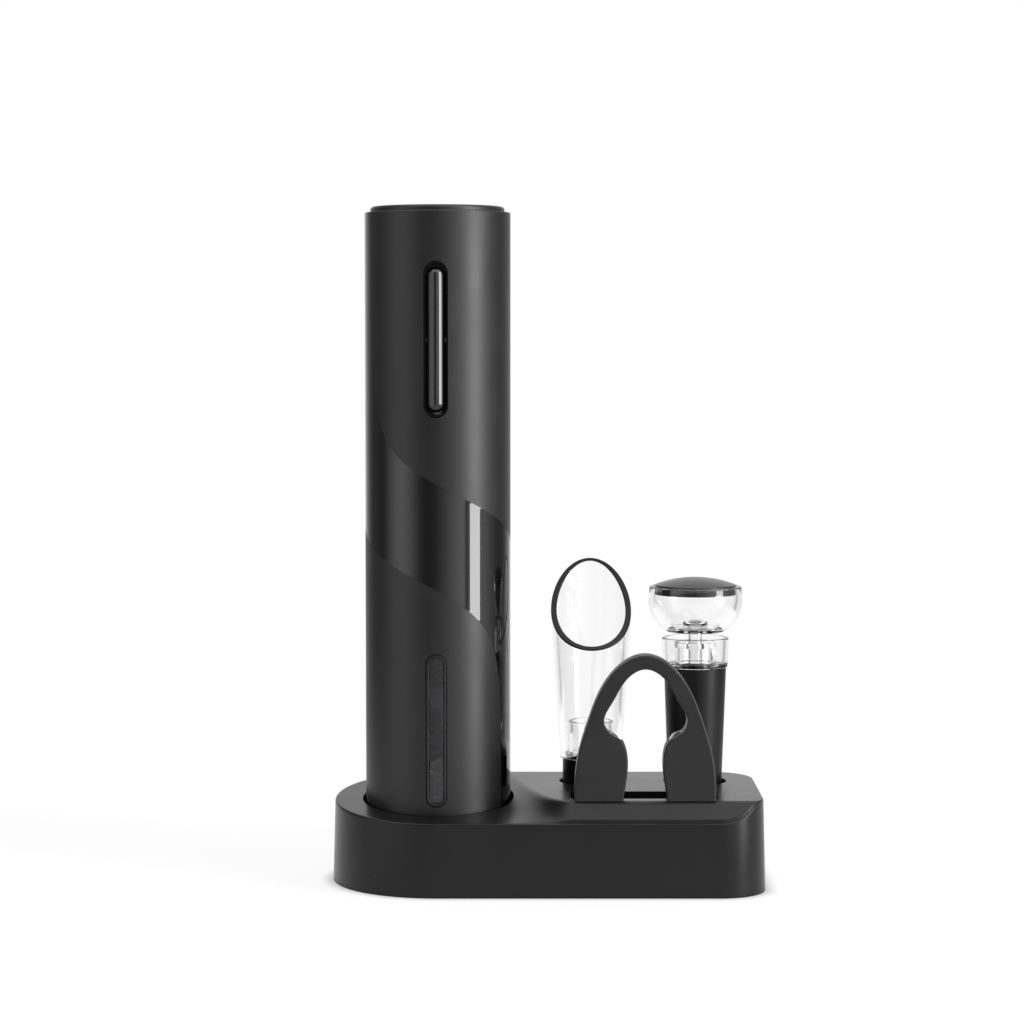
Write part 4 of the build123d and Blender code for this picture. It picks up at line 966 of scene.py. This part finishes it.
def lightStudio():
    # level of the world by kind of ray: even on matt surfaces, by bearing in mirrors and glass, then white
    panel("rightStrip", *studio["strip"])
    width, height, radiance, back = studio["top"]
    top = panel("topSoft", 0, 0, width, width, radiance, height)
    top.location = (0, back, height)
    top.rotation_euler = (0, 0, 0)
    world = bpy.data.worlds.new("studio")
    bpy.context.scene.world = world
    world.use_nodes = True
    tree = world.node_tree
    tree.nodes.clear()
    way = addNode(tree, "TexCoord", {}, {})
    split = addNode(tree, "SeparateXYZ", {}, {"Vector": way.outputs["Generated"]})
    front = addNode(tree, "Math", {"operation": "MULTIPLY"}, {0: split.outputs["Y"], 1: -1.0})
    bearing = addNode(tree, "Math", {"operation": "ARCTAN2"}, {
        0: split.outputs["X"], 1: front.outputs["Value"]}).outputs["Value"]
    aside = addNode(tree, "Math", {"operation": "ABSOLUTE"}, {0: bearing}).outputs["Value"]

    def eased(value, start, end, first, last):  # smooth step between two angles in degrees
        return addNode(tree, "MapRange", {"interpolation_type": "SMOOTHSTEP"}, {
            "Value": value, "From Min": math.radians(start), "From Max": math.radians(end),
            "To Min": first, "To Max": last}).outputs["Result"]

    horizon = eased(aside, *studio["behind"], studio["dark"], 1.0)
    for middle, reach, radiance in studio["soft"]:  # a panel fades with the angle from its middle
        off = addNode(tree, "Math", {"operation": "SUBTRACT"}, {0: bearing, 1: math.radians(middle)})
        away = addNode(tree, "Math", {"operation": "ABSOLUTE"}, {0: off.outputs["Value"]})
        horizon = addNode(tree, "Math", {"operation": "ADD"}, {
            0: horizon, 1: eased(away.outputs["Value"], 0, reach, radiance, 0.0)}).outputs["Value"]
    path = addNode(tree, "LightPath", {}, {})
    enclosed = addNode(tree, "Math", {"operation": "GREATER_THAN"}, {
        0: path.outputs["Diffuse Depth"], 1: 0.5}).outputs["Value"]
    through = addNode(tree, "Mix", {}, {  # a matt surface behind a clear one is lit like any other
        "Factor": enclosed, "A": eased(aside, *studio["glass"], studio["glassDark"], 1.0),
        "B": studio["ambient"]}).outputs["Result"]
    level = studio["ambient"]
    for ray, seen in (("Is Glossy Ray", horizon), ("Is Transmission Ray", through), ("Is Camera Ray", 1.0)):
        level = addNode(tree, "Mix", {}, {
            "Factor": path.outputs[ray], "A": level, "B": seen}).outputs["Result"]
    sky = addNode(tree, "Background", {}, {"Color": (1, 1, 1, 1), "Strength": level})
    addNode(tree, "OutputWorld", {}, {"Surface": sky.outputs["Background"]})


def floorPlane():
    # round table: plain paper to the light, nearly white to the eye, to mirrors and through glass, its white
    # glow dimmed close under the object as a painted contact shadow
    rim = around((0, 0), studio["table"], fullTurn(96)[:, 0], 0)
    mesh = bpy.data.meshes.new("floor")
    mesh.from_pydata(rim.tolist(), [], [list(range(len(rim)))])
    made = newObject("floor", mesh)
    material, tree = newMaterial("whitePaper")
    path = addNode(tree, "LightPath", {}, {})
    paper = addNode(tree, "BsdfDiffuse", {}, {"Color": linear(studio["paper"])})
    reach, darkest, lightest = studio["paintedContactShade"]
    # painted contact shadow: ambient occlusion dims the glow where the object is near
    paintedContactShade = addNode(tree, "AmbientOcclusion", {"samples": 8}, {"Distance": reach * mm})
    paintedShadeLevel = addNode(tree, "MapRange", {}, {
        "Value": paintedContactShade.outputs["AO"], "To Min": darkest, "To Max": lightest})
    glow = addNode(tree, "Emission", {}, {"Color": (1, 1, 1, 1), "Strength": paintedShadeLevel.outputs["Result"]})
    seen = path.outputs["Is Camera Ray"]
    for ray in ("Is Glossy Ray", "Is Transmission Ray"):
        seen = addNode(tree, "Math", {"operation": "MAXIMUM"}, {
            0: seen, 1: path.outputs[ray]}).outputs["Value"]
    share = addNode(tree, "Math", {"operation": "MULTIPLY"}, {0: seen, 1: studio["glow"]})
    both = addNode(tree, "MixShader", {}, {
        "Fac": share.outputs["Value"], 1: paper.outputs["BSDF"], 2: glow.outputs["Emission"]})
    addNode(tree, "OutputMaterial", {}, {"Surface": both.outputs["Shader"]})
    mesh.materials.append(material)


lightStudio()
floorPlane()

camera = {"location": (-0.012124, -0.96, 0.188863), "tilt": 86.334, "lens": 98.1, "sensor": 36.0}
eye = newObject("camera", bpy.data.cameras.new("camera"))
eye.location = camera["location"]
eye.rotation_euler = (math.radians(camera["tilt"]), 0, 0)
eye.data.lens, eye.data.sensor_width = camera["lens"], camera["sensor"]
bpy.context.scene.camera = eye
bpy.context.scene.view_settings.view_transform = "Standard"
print("studio made")
